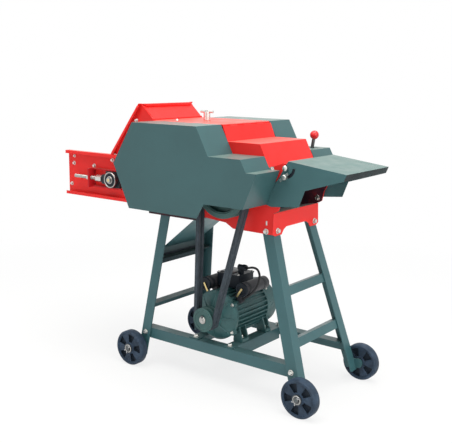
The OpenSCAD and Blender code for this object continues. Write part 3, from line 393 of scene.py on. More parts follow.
def drive_belt(name, colour):
    """V-belt: cords that show as lines along the belt, with rubbed, dusty flanks."""
    material, tree, shader, place = blank(name)
    cords = bands(tree, place, "Y", 2.4)
    worn = patches(tree, place, 22, 0.42, 0.7, 0.7)
    tone = mix_colour(tree, worn, colour, shade(colour, 1.9))
    lined = mix_colour(tree, span(tree, cords, 0.6, 1, 0, 0.55), tone, shade(colour, 0.55))
    sheen = drift(tree, place, 60, 4, 0.55, 0.8)
    skin = bump(tree, cords, 0.5, 0.5, rounded_normal(tree, 1.0))
    wire(tree, shader, Base_Color=lined, Roughness=sheen, Normal=skin, Specular_IOR_Level=0.3)
    return material


def woven_rubber(name, colour):
    """Conveyor rubber with the weave of its carcass showing through."""
    material, tree, shader, place = blank(name)
    weave = reckon(tree, "MULTIPLY", *(bands(tree, place, axis, 2.4, distortion=0.4) for axis in ("X", "Y")))
    scuff = patches(tree, place, 30, 0.45, 0.75, 0.6, 6)
    chaff = patches(tree, place, 190, 0.64, 0.72, 0.5, 3)
    tone = mix_colour(tree, scuff, colour, shade(colour, 2.6))
    strewn = mix_colour(tree, chaff, tone, (0.2, 0.17, 0.09))
    sheen = drift(tree, place, 60, 4, 0.6, 0.85)
    skin = bump(tree, weave, 0.4, 0.4, rounded_normal(tree, 0.8))
    wire(tree, shader, Base_Color=strewn, Roughness=sheen, Normal=skin)
    return material


def plastic(name, colour, rough, grain, rubbed=0.5, gloss=0.5):
    """Moulded plastic: faint flow marks, a fine grain and rubbed edges."""
    material, tree, shader, place = blank(name)
    tone = mix_colour(tree, drift(tree, place, 12, 4, 0, 1), shade(colour, 0.85), shade(colour, 1.15))
    rub = edge_wear(tree, 1.2, patches(tree, place, 140, 0.45, 0.65, rubbed, 3))
    pale = tuple(channel * 0.7 + 0.1 for channel in colour)
    worn = mix_colour(tree, rub, tone, pale)
    sheen = drift(tree, place, 55, 4, rough - 0.08, rough + 0.1)
    skin = bump(tree, noise(tree, place, grain, 3), 0.15, 0.2, rounded_normal(tree, 1.0))
    wire(tree, shader, Base_Color=worn, Roughness=sheen, Normal=skin, Specular_IOR_Level=gloss)
    return material


# Finishes: the machine's own

RED = (0.9, 0.028, 0.025)
GREEN = (0.044, 0.112, 0.12)
HOOD_GREEN = (0.064, 0.143, 0.154)
FRAME_GREEN = (0.046, 0.126, 0.14)
MOTOR_GREEN = (0.044, 0.13, 0.134)
COAL = (0.012, 0.018, 0.026)
ZINC = (0.66, 0.66, 0.63)
STEEL = (0.46, 0.45, 0.43)
SLATE = (0.025, 0.042, 0.069)
DUST_AND_HIGHLIGHT = (0.5, 0.53, 0.42)
RED_CHIP = (0.42, 0.16, 0.14)
GREEN_CHIP = (0.15, 0.26, 0.27)
IRON_CHIP = (0.32, 0.3, 0.28)
PLATE_SHADE = (0.008, 0.01, 0.018)
LIP_SHADE = (0.004, 0.011, 0.014)
CHUTE_SHADE = (0.008, 0.02, 0.024)
BAR_SHADOW = (0.01, 0.036, 0.046)

red_enamel = enamel("red_enamel", RED, RED_CHIP, 0.38, 0.22)
# Red with painted shade on the side plates' inner faces and foot flanges
red_painted_shade = enamel("red_painted_shade", RED, RED_CHIP, 0.38, 0.22, plate_painted_shade, PLATE_SHADE)
# A darker copy of the red for the take-up brackets and their welds: painted shade
bracket_red_painted_shade = enamel("bracket_red_painted_shade", (0.55, 0.014, 0.02), RED_CHIP, 0.4, 0.22)
green_enamel = enamel("green_enamel", GREEN, GREEN_CHIP, 0.34, 0.36)
# Hood green with painted shade on its turned-down lip
hood_enamel = enamel("hood_enamel", HOOD_GREEN, GREEN_CHIP, 0.34, 0.08, lip_painted_shade, LIP_SHADE, 0.19)
frame_enamel = enamel("frame_enamel", FRAME_GREEN, GREEN_CHIP, 0.34, 0.36, dust=0.07)
# Frame green, darker towards the chute's foot: painted shade
chute_enamel = enamel("chute_enamel", shade(FRAME_GREEN, 1.35), GREEN_CHIP, 0.36, 0.36,
                      chute_painted_shade, CHUTE_SHADE, 0.05)
# Frame green with the chute's shadow painted on the upper feed bar
bar_enamel = enamel("bar_enamel", FRAME_GREEN, GREEN_CHIP, 0.34, 0.18, bar_painted_shadow, BAR_SHADOW, 0.12)
motor_enamel = casting("motor_enamel", MOTOR_GREEN, (0.13, 0.23, 0.22), 0.36)
pulley_enamel = casting("pulley_enamel", (0.045, 0.12, 0.115), IRON_CHIP, 0.38)
black_casting = casting("black_casting", (0.016, 0.02, 0.026), (0.16, 0.17, 0.18), 0.42)
grey_casting = casting("grey_casting", (0.12, 0.13, 0.135), IRON_CHIP, 0.5)
zinc_plate = bare_metal("zinc_plate", ZINC, 0.28, (1, 1, 40))
axle_steel = bare_metal("axle_steel", (0.52, 0.53, 0.54), 0.34, (40, 1, 40), stain_share=0.4)
black_oxide = bare_metal("black_oxide", (0.14, 0.145, 0.15), 0.36, (40, 40, 1), stain_share=0.3)
rolled_steel = bare_metal("rolled_steel", (0.3, 0.29, 0.28), 0.38, (30, 1, 30), stain_share=0.5)
sheet_steel = bare_metal("sheet_steel", (0.34, 0.335, 0.325), 0.46, (1, 30, 30), stain_share=0.12)
ground_steel = bare_metal("ground_steel", STEEL, 0.3, (40, 1, 40), stain_share=0.35)
brass_strip = bare_metal("brass_strip", (0.76, 0.6, 0.28), 0.3, (1, 1, 30), (0.3, 0.2, 0.08))
take_up_thread = threaded("take_up_thread", ZINC, "X", 2, (0, TAKE_UP_SCREW_Y, TAIL_ROLLER[1]), (0, 1, 1), 7,
                          twins=True)
pressure_thread = threaded("pressure_thread", ZINC, "Z", 2.5, (SPRING_X, 0, 0), (1, 1, 0), 8)
# Rubber with painted shade in the wheels' pockets
wheel_rubber = rubber("wheel_rubber", SLATE, 0.58, 320, pocket_shade)
# Dark rubber for the strip at the chute's foot: painted shadow
shadow_strip_rubber = rubber("shadow_strip_rubber", COAL, 0.6, 280)
belt_rubber = drive_belt("belt_rubber", (0.038, 0.05, 0.063))
conveyor_rubber = woven_rubber("conveyor_rubber", (0.03, 0.031, 0.033))
black_plastic = plastic("black_plastic", COAL, 0.38, 500, gloss=0.2)
capacitor_shell = plastic("capacitor_shell", (0.05, 0.05, 0.058), 0.42, 500, gloss=0.35)
lead_sleeve = plastic("lead_sleeve", (0.011, 0.012, 0.014), 0.4, 260)
lid_plastic = plastic("lid_plastic", (0.05, 0.056, 0.064), 0.35, 500)
red_plastic = plastic("red_plastic", (0.72, 0.014, 0.018), 0.16, 40, 0.0)

NODE_FINISHES = {
    red_enamel: ["apron", "deck", "drum_cover", "trough_drive", "trough_gear", "hopper_sides", "hopper_back"],
    bracket_red_painted_shade: ["take_up_frames"],
    red_painted_shade: ["side_plate_drive", "side_plate_gear"],
    green_enamel: ["cover_drive", "cover_gear"],
    frame_enamel: ["leg_feed_drive", "leg_feed_gear", "leg_outlet_drive", "leg_outlet_gear", "base_rails",
                   "motor_rails", "outlet_bars"],
    bar_enamel: ["feed_bars"],
    chute_enamel: ["drop_chute"],
    hood_enamel: ["hood"],
    motor_enamel: ["motor_stator", "motor_end_bell", "motor_cowl"],
    pulley_enamel: ["drum_pulley", "motor_pulley"],
    black_casting: ["body_bearings", "take_up_blocks"],
    grey_casting: ["feed_gearbox"],
    zinc_plate: ["hood_clamps"],
    black_oxide: ["wheel_retainers", "shift_lever"],
    ground_steel: ["drum_blades", "bed_knife", "motor_rotor", "head_roller", "tail_roller"],
    sheet_steel: ["concave", "trough_floor"],
    rolled_steel: ["drum", "lower_roller", "upper_roller", "roller_yoke", "input_gear", "drum_pinion",
                   "feed_chain", "pressure_spring"],
    take_up_thread: ["take_up_screws"],
    pressure_thread: ["pressure_screw"],
    wheel_rubber: ["wheel_feed_drive", "wheel_feed_gear", "wheel_outlet_drive", "wheel_outlet_gear"],
    belt_rubber: ["v_belts"],
    conveyor_rubber: ["conveyor_belt"],
    black_plastic: ["terminal_box"],
    capacitor_shell: ["capacitors"],
    lead_sleeve: ["capacitor_lead"],
    red_plastic: ["shift_knob"],
}


def dress_nodes():
    for material, names in NODE_FINISHES.items():
        for name in names:
            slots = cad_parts[name].data.materials
            slots.clear()
            slots.append(material)


# The capacitor's lead, on the same bends as its solid

def between(a, b, c, d, t):
    """A point on the smooth curve from b to c, with a before them and d after."""
    cubic = 3 * b - a - 3 * c + d
    return b + t / 2 * (c - a + t * (2 * a - 5 * b + 4 * c - d + t * cubic))


def make_lead():
    start = Vector((162, -20, 395))
    way = Vector((0.8, 0, 0.6))
    end_from_axis = 98
    straight = 14
    sunk = 10
    radius = 4
    end = Vector((MOTOR[0], -84, MOTOR[1])) + end_from_axis * way
    loop = [(203, -25, 403), (229, -34, 401), (247, -47, 384),
            (252, -62, 360), (245, -75, 338), (229, -82, 319.5)]
    stops = [start - Vector((sunk, 0, 0)), start, start + Vector((straight, 0, 1))]
    stops += [Vector(stop) for stop in loop]
    stops += [end + straight * way, end, end - sunk * way]
    points = []
    for k in range(1, len(stops) - 2):
        points += [between(*stops[k - 1:k + 3], t) * MM for t in (0, 0.34, 0.68)]
    points.append(end * MM)
    curve = bpy.data.curves.new("capacitor_flex", "CURVE")
    curve.dimensions = "3D"
    curve.bevel_depth = radius * MM
    curve.bevel_resolution = 6
    curve.use_fill_caps = True
    line = curve.splines.new("POLY")
    line.points.add(len(points) - 1)
    for spot, point in zip(line.points, points):
        spot.co = (*point, 1)
    curve.materials.append(lead_sleeve)
    flex = bpy.data.objects.new("capacitor_flex", curve)
    scene.collection.objects.link(flex)
    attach(flex, STAND)
    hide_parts("capacitor_lead")


# Small mesh tools, in millimetres

def finish_piece(name, mesh, body):
    piece = bpy.data.objects.new(name, mesh)
    scene.collection.objects.link(piece)
    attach(piece, body)
    return piece


def smooth_by_angle(mesh, angle=40):
    mesh.shade_smooth()
    mesh.set_sharp_from_angle(angle=math.radians(angle))


def new_piece(name, shape, material, body):
    """Makes a piece of a bmesh drawn in millimetres."""
    bmesh.ops.recalc_face_normals(shape, faces=shape.faces)
    mesh = bpy.data.meshes.new(name)
    shape.to_mesh(mesh)
    shape.free()
    mesh.transform(Matrix.Scale(MM, 4))
    smooth_by_angle(mesh)
    mesh.materials.append(material)
    return finish_piece(name, mesh, body)


def add_lathe(shape, profile, sides, at=Matrix.Identity(4)):
    """Turns (radius, height) points round the local Z axis; a profile off the axis closes to a ring."""
    on_axis = 1e-6
    angles = [2 * math.pi * k / sides for k in range(sides)]
    rings = []
    for radius, height in profile:
        if radius < on_axis:
            rings.append([shape.verts.new(at @ Vector((0, 0, height)))])
            continue
        spots = [Vector((radius * math.cos(a), radius * math.sin(a), height)) for a in angles]
        rings.append([shape.verts.new(at @ spot) for spot in spots])
    pairs = list(zip(rings, rings[1:]))
    if profile[0][0] > on_axis:
        pairs.append((rings[-1], rings[0]))
    for low, high in pairs:
        for k in range(sides):
            after = (k + 1) % sides
            corners = [low[k % len(low)], low[after % len(low)], high[after % len(high)], high[k % len(high)]]
            corners = list(dict.fromkeys(corners))
            if len(corners) > 2:
                shape.faces.new(corners)


def turned_piece(name, rounds, material, body):
    """One piece of turned shapes, each given by its profile, its number of sides and its place."""
    shape = bmesh.new()
    for profile, sides, at in rounds:
        add_lathe(shape, profile, sides, at)
    return new_piece(name, shape, material, body)


def add_block(shape, low, high, radius, segments=2, at=Matrix.Identity(4)):
    """Adds a box from its low to its high corner with all its edges rounded."""
    verts = bmesh.ops.create_cube(shape, size=1)["verts"]
    size = Vector(high) - Vector(low)
    middle = (Vector(high) + Vector(low)) / 2
    place = at @ Matrix.Translation(middle) @ Matrix.Diagonal((*size, 1))
    bmesh.ops.transform(shape, matrix=place, verts=verts)
    edges = list({edge for vert in verts for edge in vert.link_edges})
    bmesh.ops.bevel(shape, geom=edges, offset=radius, segments=segments, affect="EDGES", profile=0.5)


def facing(direction, place=(0, 0, 0)):
    """A local Z axis that points along direction from place."""
    turn = Vector(direction).to_track_quat("Z", "Y").to_matrix().to_4x4()
    return Matrix.Translation(Vector(place)) @ turn


def out_of_side(side, centre, y):
    """A local Z axis that points out of one side of the machine, y from its middle."""
    return facing((0, side, 0), (centre[0], side * y, centre[1]))


def round_about(centre, radius, degrees, y):
    """A place on a circle in the plane of the side plates."""
    a = math.radians(degrees)
    return (centre[0] + radius * math.cos(a), y, centre[1] + radius * math.sin(a))


def add_arc_pad(shape, centre, radii, sweep, y, thick):
    """A curved flat pad that stands on the plane at y."""
    steps = 24
    outline = list(zip((*radii, *radii[::-1]), (0, 0, thick, thick)))
    rows = []
    for k in range(steps + 1):
        a = sweep[0] + (sweep[1] - sweep[0]) * k / steps
        rows.append([shape.verts.new(round_about(centre, radius, a, y + out)) for radius, out in outline])
    for row, after in zip(rows, rows[1:]):
        for j in range(4):
            shape.faces.new((row[j], row[(j + 1) % 4], after[(j + 1) % 4], after[j]))
    shape.faces.new(rows[0])
    shape.faces.new(rows[-1])


def both_sides(spots):
    """Spots on the near side, with their mirror images on the far side."""
    return spots + [((x, -y, z), (dx, -dy, dz)) for (x, y, z), (dx, dy, dz) in spots]


# Copied pieces: trees with named sizes

LENGTH = "NodeSocketFloat"
COUNT = "NodeSocketInt"


def open_tree(name, **sizes):
    """A geometry tree and its input sockets by name; an underscore in a size's name stands for a space."""
    tree = bpy.data.node_groups.new(name, "GeometryNodeTree")
    tree.interface.new_socket("Places", in_out="INPUT", socket_type="NodeSocketGeometry")
    for label, kind in sizes.items():
        tree.interface.new_socket(label.replace("_", " "), in_out="INPUT", socket_type=kind)
    tree.interface.new_socket("Finish", in_out="INPUT", socket_type="NodeSocketMaterial")
    tree.interface.new_socket("Pieces", in_out="OUTPUT", socket_type="NodeSocketGeometry")
    return tree, tree.nodes.new("NodeGroupInput").outputs


def close_tree(tree, given, points, pattern, turn, scale=None):
    """Copies the pattern to every point, makes the copies real and gives them their finish."""
    inputs = {"Points": points, "Instance": pattern, "Rotation": turn}
    if scale is not None:
        inputs["Scale"] = scale
    copies = made(tree, "GeometryNodeInstanceOnPoints", inputs)
    real = made(tree, "GeometryNodeRealizeInstances", {"Geometry": copies})
    done = made(tree, "GeometryNodeSetMaterial", {"Geometry": real, "Material": given["Finish"]})
    put(tree, "NodeGroupOutput", {"Pieces": done})
    return tree


def stored_turn(tree):
    named = put(tree, "GeometryNodeInputNamedAttribute", {"Name": "turn"}, data_type="FLOAT_VECTOR")
    return named.outputs["Attribute"]


def random_vector(tree, low, high, seed):
    draw = put(tree, "FunctionNodeRandomValue", data_type="FLOAT_VECTOR")
    for label, value in (("Min", low), ("Max", high)):
        next(s for s in draw.inputs if s.name == label and s.type == "VECTOR").default_value = value
    tree.links.new(seed, draw.inputs["Seed"])
    return next(s for s in draw.outputs if s.type == "VECTOR")


def join(tree, *parts):
    whole = tree.nodes.new("GeometryNodeJoinGeometry")
    for part in parts:
        tree.links.new(part, whole.inputs["Geometry"])
    return whole.outputs["Geometry"]


def sweep_profile(tree, path, profile):
    inputs = {"Curve": path, "Profile Curve": profile, "Fill Caps": True}
    return made(tree, "GeometryNodeCurveToMesh", inputs)


def sweep_wire(tree, path, gauge, resolution):
    """Round wire of a gauge along a path."""
    section = {"Radius": reckon(tree, "MULTIPLY", gauge, 0.5), "Resolution": resolution}
    profile = made(tree, "GeometryNodeCurvePrimitiveCircle", section)
    return sweep_profile(tree, path, profile)


def head_shape(tree, sides, radius, height, dish):
    """A closed head on z = 0 with straight sides, a bevelled crown and a dish in its top."""
    crown = reckon(tree, "MULTIPLY", height, 0.22)
    straight = reckon(tree, "SUBTRACT", height, crown)
    base = made(tree, "GeometryNodeMeshCircle", {"Vertices": sides, "Radius": radius}, fill_type="NGON")
    under = made(tree, "GeometryNodeFlipFaces", {"Mesh": base})
    steps = ((straight, 1.0), (crown, 0.86), (0.0, 0.6), (reckon(tree, "MULTIPLY", dish, -1.0), 0.9))
    mesh = base
    top = None
    for rise, shrink in steps:
        inputs = {"Mesh": mesh, "Offset Scale": rise}
        if top is not None:
            inputs["Selection"] = top
        raised = put(tree, "GeometryNodeExtrudeMesh", inputs, mode="FACES")
        top = raised.outputs["Top"]
        inputs = {"Geometry": raised.outputs["Mesh"], "Selection": top, "Scale": shrink}
        mesh = made(tree, "GeometryNodeScaleElements", inputs, domain="FACE")
    whole = join(tree, under, mesh)
    return made(tree, "GeometryNodeMergeByDistance", {"Geometry": whole, "Distance": 1e-6})


def bolt_tree():
    """Bolt heads on washers; six sides make a hex head, many a round one."""
    tree, given = open_tree("bolt_copies", Head_Across=LENGTH, Head_Height=LENGTH, Sides=COUNT,
                            Dish_Depth=LENGTH, Washer_Across=LENGTH, Washer_Height=LENGTH)
    half_turn = reckon(tree, "DIVIDE", math.pi, given["Sides"])
    twice = reckon(tree, "MULTIPLY", reckon(tree, "COSINE", half_turn), 2.0)
    corner = reckon(tree, "DIVIDE", given["Head Across"], twice)
    head = head_shape(tree, given["Sides"], corner, given["Head Height"], given["Dish Depth"])
    lift = vector_of(tree, Z=given["Washer Height"])
    raised = made(tree, "GeometryNodeTransform", {"Geometry": head, "Translation": lift})
    washer_sides = 24
    washer_r = reckon(tree, "MULTIPLY", given["Washer Across"], 0.5)
    washer = head_shape(tree, washer_sides, washer_r, given["Washer Height"], 0.0)
    return close_tree(tree, given, given["Places"], join(tree, raised, washer), stored_turn(tree))


def split_pin_tree():
    """Split pins: an eye, and two legs that bend apart below it."""
    tree, given = open_tree("split_pin_copies", Wire_Gauge=LENGTH, Eye_Height=LENGTH, Leg_Length=LENGTH)
    gauge = given["Wire Gauge"]
    eye_z = given["Eye Height"]
    eye_r = reckon(tree, "MULTIPLY", gauge, 1.15)
    circle = made(tree, "GeometryNodeCurvePrimitiveCircle", {"Radius": eye_r, "Resolution": 16})
    eye_at = vector_of(tree, Z=reckon(tree, "ADD", eye_z, eye_r))
    upright = {"Geometry": circle, "Translation": eye_at, "Rotation": (0, math.pi / 2, 0)}
    curves = [made(tree, "GeometryNodeTransform", upright)]
    foot = reckon(tree, "MULTIPLY", given["Leg Length"], -1.0)
    for side in SIDES:
        beside = reckon(tree, "MULTIPLY", gauge, 0.5 * side)
        apart = reckon(tree, "MULTIPLY", given["Leg Length"], 0.5 * side)
        leg = {"Resolution": 12}
        for label, y, z in (("Start", beside, eye_z), ("Middle", beside, foot), ("End", apart, foot)):
            leg[label] = vector_of(tree, Y=y, Z=z)
        curves.append(made(tree, "GeometryNodeCurveQuadraticBezier", leg))
    pin = sweep_wire(tree, join(tree, *curves), gauge, 8)
    return close_tree(tree, given, given["Places"], pin, stored_turn(tree))


def weld_tree():
    """Weld beads: flat drops a pitch apart along the places' edges, each turned and sized a little."""
    tree, given = open_tree("weld_copies", Bead_Radius=LENGTH, Bead_Pitch=LENGTH, Seed=COUNT)
    path = made(tree, "GeometryNodeMeshToCurve", {"Mesh": given["Places"]})
    spaced = {"Curve": path, "Length": given["Bead Pitch"]}
    even = made(tree, "GeometryNodeResampleCurve", spaced, mode="LENGTH")
    points = made(tree, "GeometryNodeCurveToPoints", {"Curve": even}, mode="EVALUATED")
    drop = {"Radius": given["Bead Radius"], "Segments": 10, "Rings": 6}
    bead = made(tree, "GeometryNodeMeshUVSphere", drop)
    turn = random_vector(tree, (-0.5, -0.5, -3.1), (0.5, 0.5, 3.1), given["Seed"])
    size = random_vector(tree, (0.85, 0.85, 0.7), (1.2, 1.2, 0.9), given["Seed"])
    return close_tree(tree, given, points, bead, turn, size)


def rib_tree():
    """Cast ribs: bars with rounded corners that run along the local X axis."""
    tree, given = open_tree("rib_copies", Rib_Length=LENGTH, Rib_Width=LENGTH, Rib_Height=LENGTH,
                            Corner_Radius=LENGTH)
    line = made(tree, "GeometryNodeCurvePrimitiveLine", {"End": vector_of(tree, X=given["Rib Length"])})
    section = {"Width": given["Rib Width"], "Height": given["Rib Height"]}
    square = made(tree, "GeometryNodeCurvePrimitiveQuadrilateral", section)
    rounding = {"Curve": square, "Count": 3, "Radius": given["Corner Radius"]}
    profile = made(tree, "GeometryNodeFilletCurve", rounding, mode="POLY")
    return close_tree(tree, given, given["Places"], sweep_profile(tree, line, profile), stored_turn(tree))


def spring_tree():
    """Coil springs of round wire that stand on their places."""
    tree, given = open_tree("spring_copies", Coil_Radius=LENGTH, Coil_Height=LENGTH, Wire_Gauge=LENGTH,
                            Turns=COUNT)
    winding = {"Resolution": 28, "Rotations": given["Turns"], "Start Radius": given["Coil Radius"],
               "End Radius": given["Coil Radius"], "Height": given["Coil Height"]}
    coil = made(tree, "GeometryNodeCurveSpiral", winding)
    spring = sweep_wire(tree, coil, given["Wire Gauge"], 10)
    return close_tree(tree, given, given["Places"], spring, stored_turn(tree))


def grow(name, tree, places, values, finish, body):
    """Runs a tree on a mesh of places and keeps the result as one plain piece."""
    holder = bpy.data.objects.new(name, places)
    scene.collection.objects.link(holder)
    modifier = holder.modifiers.new("copies", "NODES")
    modifier.node_group = tree
    for item in tree.interface.items_tree:
        if item.in_out == "INPUT" and item.name in values:
            value = values[item.name]
            modifier[item.identifier] = value if item.socket_type == COUNT else value * MM
        elif item.in_out == "INPUT" and item.name == "Finish":
            modifier[item.identifier] = finish
    ready = holder.evaluated_get(bpy.context.evaluated_depsgraph_get())
    mesh = bpy.data.meshes.new_from_object(ready)
    holder.modifiers.remove(modifier)
    bpy.data.objects.remove(holder)
    mesh.name = name
    shape = bmesh.new()
    shape.from_mesh(mesh)
    bmesh.ops.recalc_face_normals(shape, faces=shape.faces)
    shape.to_mesh(mesh)
    shape.free()
    smooth_by_angle(mesh)
    return finish_piece(name, mesh, body)


def grow_once(name, tree, places, values, finish):
    """Grows one piece on the machine, then removes its tree."""
    piece = grow(name, tree, places, values, finish, STAND)
    bpy.data.node_groups.remove(tree)
    return piece


def spots_mesh(name, spots):
    """Loose points, each with a turn: its own matrix, or one that brings the Z axis to its direction."""
    cloud = bpy.data.meshes.new(name)
    cloud.from_pydata([Vector(place) * MM for place, _ in spots], [], [])
    turns = cloud.attributes.new("turn", "FLOAT_VECTOR", "POINT")
    for k, (_, direction) in enumerate(spots):
        turn = direction if isinstance(direction, Matrix) else facing(direction)
        turns.data[k].vector = turn.to_euler()
    return cloud


def paths_mesh(name, paths):
    """Open chains of edges."""
    points = []
    edges = []
    for path in paths:
        first = len(points)
        points += [Vector(place) * MM for place in path]
        edges += [(first + k, first + k + 1) for k in range(len(path) - 1)]
    mesh = bpy.data.meshes.new(name)
    mesh.from_pydata(points, edges, [])
    return mesh


def hex_sizes(across):
    return {"Head Across": across, "Head Height": across * 0.55, "Sides": 6, "Dish Depth": across * 0.03,
            "Washer Across": across * 1.5, "Washer Height": across * 0.12}


def round_sizes(across):
    return {"Head Across": across, "Head Height": across * 0.36, "Sides": 20, "Dish Depth": across * 0.12,
            "Washer Across": across * 1.2, "Washer Height": across * 0.06}


# Fasteners

def body_bolt_spots():
    leg_face_y = -175.6
    leg_bolt_z = 127
    rail_bolt_y = -150
    rail_top = 149
    foot_half = 75
    foot_top = 161
    apron = [((361, -115, 570), RIGHT)]
    plates = [((331, -PLATE_Y, 567), NEAR), ((361, -133, 649), FAR)]
    legs = [((x, leg_face_y, leg_bolt_z), NEAR) for x in (-172, 466)]
    rails = [((x, rail_bolt_y, rail_top), UP) for x in (49, 200)]
    feet = [((MOTOR[0] + side * foot_half, y, foot_top), UP) for side in SIDES for y in (-80, 58)]
    return both_sides(apron + plates + legs + rails) + feet


def sheet_bolt_spots():
    trough = [((x, -TROUGH_Y, z), NEAR) for x, z in ((-588, 719), (-604, 637), (-475, 717), (-376, 746))]
    hopper = [((-246, -HOPPER_Y, 901), NEAR)]
    return both_sides(trough + hopper)


def small_bolt_spots():
    trough = [((-586, -TROUGH_Y, 747), NEAR)]
    deck = [((-95.5, -86.6, DECK_TOP), UP)]
    return both_sides(trough) + deck


def bell_ear_spots():
    ear_r = 86
    ear_face_y = -129
    return [(round_about(MOTOR, ear_r, degrees, ear_face_y), NEAR) for degrees in (35, 145, 215, 325)]


def lid_spots():
    return [((x, y, LID_TOP), UP) for x in (75.5, 162.5) for y in (-54.5, 26.5)]


def cowl_spots():
    cowl_r = 84.8
    screw_y = 88
    spots = []
    for degrees in (45, 135, 225, 315):
        outward = (math.cos(math.radians(degrees)), 0, math.sin(math.radians(degrees)))
        spots.append((round_about(MOTOR, cowl_r, degrees, screw_y), outward))
    return spots


def bearing_spots():
    """Four bolts round each flange bearing, half a side from its shaft both ways."""
    face_y = -PLATE_Y - BEARING_FLANGE
    spots = []
    for (x, z), half in ((DRUM, 39), (LOWER_ROLLER, 29), (HEAD_ROLLER, 22)):
        spots += [((x + i * half, face_y, z + j * half), NEAR) for i in SIDES for j in SIDES]
    return both_sides(spots)


def blade_spots():
    blades = 4
    bolt_seat = Vector((98, 0, 7))
    spots = []
    for k in range(blades):
        turn = Matrix.Rotation(-math.radians(90 * k + 45), 3, "Y")
        for y in (-80, -40, 40, 80):
            place = turn @ bolt_seat + Vector((DRUM[0], y, DRUM[1]))
            spots.append((tuple(place), tuple(turn @ Vector(UP))))
    return spots


def lacing_spots(belt_top):
    hook_pitch = 11
    return [((x, hook_pitch * k, belt_top), UP) for x in (-229, -217) for k in range(-9, 10)]


def cleat_spots(cleat_top):
    first_x = -341
    cleats = 6
    cleat_pitch = 48
    rivet_pitch = 45
    return [((first_x + cleat_pitch * i, rivet_pitch * k, cleat_top), UP)
            for i in range(cleats) for k in range(-2, 3)]


def make_fasteners():
    bolts = bolt_tree()
    cleat_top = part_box("conveyor_belt")[1][2] / MM

    def bolt(name, spots, sizes, finish=zinc_plate, body=STAND):
        grow(name, bolts, spots_mesh(name, spots), sizes, finish, body)

    bolt("body_bolts", body_bolt_spots(), hex_sizes(13))
    bolt("sheet_bolts", sheet_bolt_spots(), hex_sizes(10))
    bolt("small_bolts", small_bolt_spots(), hex_sizes(8))
    bolt("drum_cover_bolts", both_sides([((350, -140, 772), NEAR)]), hex_sizes(13), body="drum_cover_group")
    bolt("end_bell_bolts", bell_ear_spots(), hex_sizes(8))
    bolt("lid_screws", lid_spots(), round_sizes(8))
    bolt("cowl_screws", cowl_spots(), round_sizes(8))
    bolt("bearing_bolts", bearing_spots(), hex_sizes(10))
    bolt("blade_bolts", blade_spots(), round_sizes(11), rolled_steel, "drum_group")
    bolt("belt_lacing", lacing_spots(cleat_top - CLEAT_RISE), round_sizes(6.5), ground_steel)
    bolt("cleat_rivets", cleat_spots(cleat_top), round_sizes(6), ground_steel)
    bpy.data.node_groups.remove(bolts)


def make_split_pins():
    pin_y = -228.9
    lean = (0.62, 0, 0.78)
    spots = spots_mesh("split_pins", both_sides([((x, pin_y, WHEEL_R), lean) for x in WHEEL_X]))
    sizes = {"Wire Gauge": 3, "Eye Height": 8.5, "Leg Length": 17}
    grow_once("split_pins", split_pin_tree(), spots, sizes, axle_steel)


def make_bell_ribs():
    ribs = 8
    bell_y = -115
    slope = Vector((42, 0, -20)).normalized()
    rib_foot = Vector((37, 0, 34))
    spots = []
    for k in range(ribs):
        spin = Matrix.Rotation(math.radians(45 * k), 3, "Z")
        along = spin @ slope
        across = spin @ Vector(FAR)
        turn = facing(NEAR).to_3x3() @ Matrix((along, across, along.cross(across))).transposed()
        foot = facing(NEAR, (MOTOR[0], bell_y, MOTOR[1])) @ (spin @ rib_foot)
        spots.append((tuple(foot), turn))
    sizes = {"Rib Length": 49, "Rib Width": 7, "Rib Height": 7, "Corner Radius": 2}
    grow_once("bell_ribs", rib_tree(), spots_mesh("bell_ribs", spots), sizes, motor_enamel)


def make_spring():
    """The pressure spring between the yoke and the screw's collar, on a mesh of its own."""
    low, high = SPRING_Z
    height = high - low
    spots = spots_mesh("yoke_spring", [((SPRING_X, 0, low), UP)])
    sizes = {"Coil Radius": 13, "Coil Height": height, "Wire Gauge": SPRING_WIRE, "Turns": 5}
    spring = grow_once("yoke_spring", spring_tree(), spots, sizes, rolled_steel)
    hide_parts("pressure_spring")
    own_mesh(spring)


def make_welds():
    seam_y = -TROUGH_Y - 0.6
    low = 642
    high = 706
    seams = [[(x, side * seam_y, low), (x, side * seam_y, high)] for x in (-476.2, -469.8) for side in SIDES]
    paths = paths_mesh("take_up_welds", seams)
    sizes = {"Bead Radius": 2.2, "Bead Pitch": 2.4, "Seed": 7}
    grow_once("take_up_welds", weld_tree(), paths, sizes, bracket_red_painted_shade)


# Trim on the axles, hood and pulleys

def make_axle_ends():
    crown = [(0, 0), (8.4, 0), (8.4, 4.4), (7.4, 5.6), (2.4, 5.6), (1.2, 4.6), (0, 4.4)]
    washer_rim = [(12, -0.2), (14.2, -0.2), (14.2, 1.2), (13.6, 1.8), (12.6, 1.8), (12, 1.2)]
    faces = [out_of_side(side, (x, WHEEL_R), AXLE_END_Y) for x in WHEEL_X for side in SIDES]
    ends = [(crown, 32, face) for face in faces]
    rims = [(washer_rim, 40, face) for face in faces]
    turned_piece("axle_ends", ends, black_oxide, STAND)
    turned_piece("washer_rims", rims, zinc_plate, STAND)


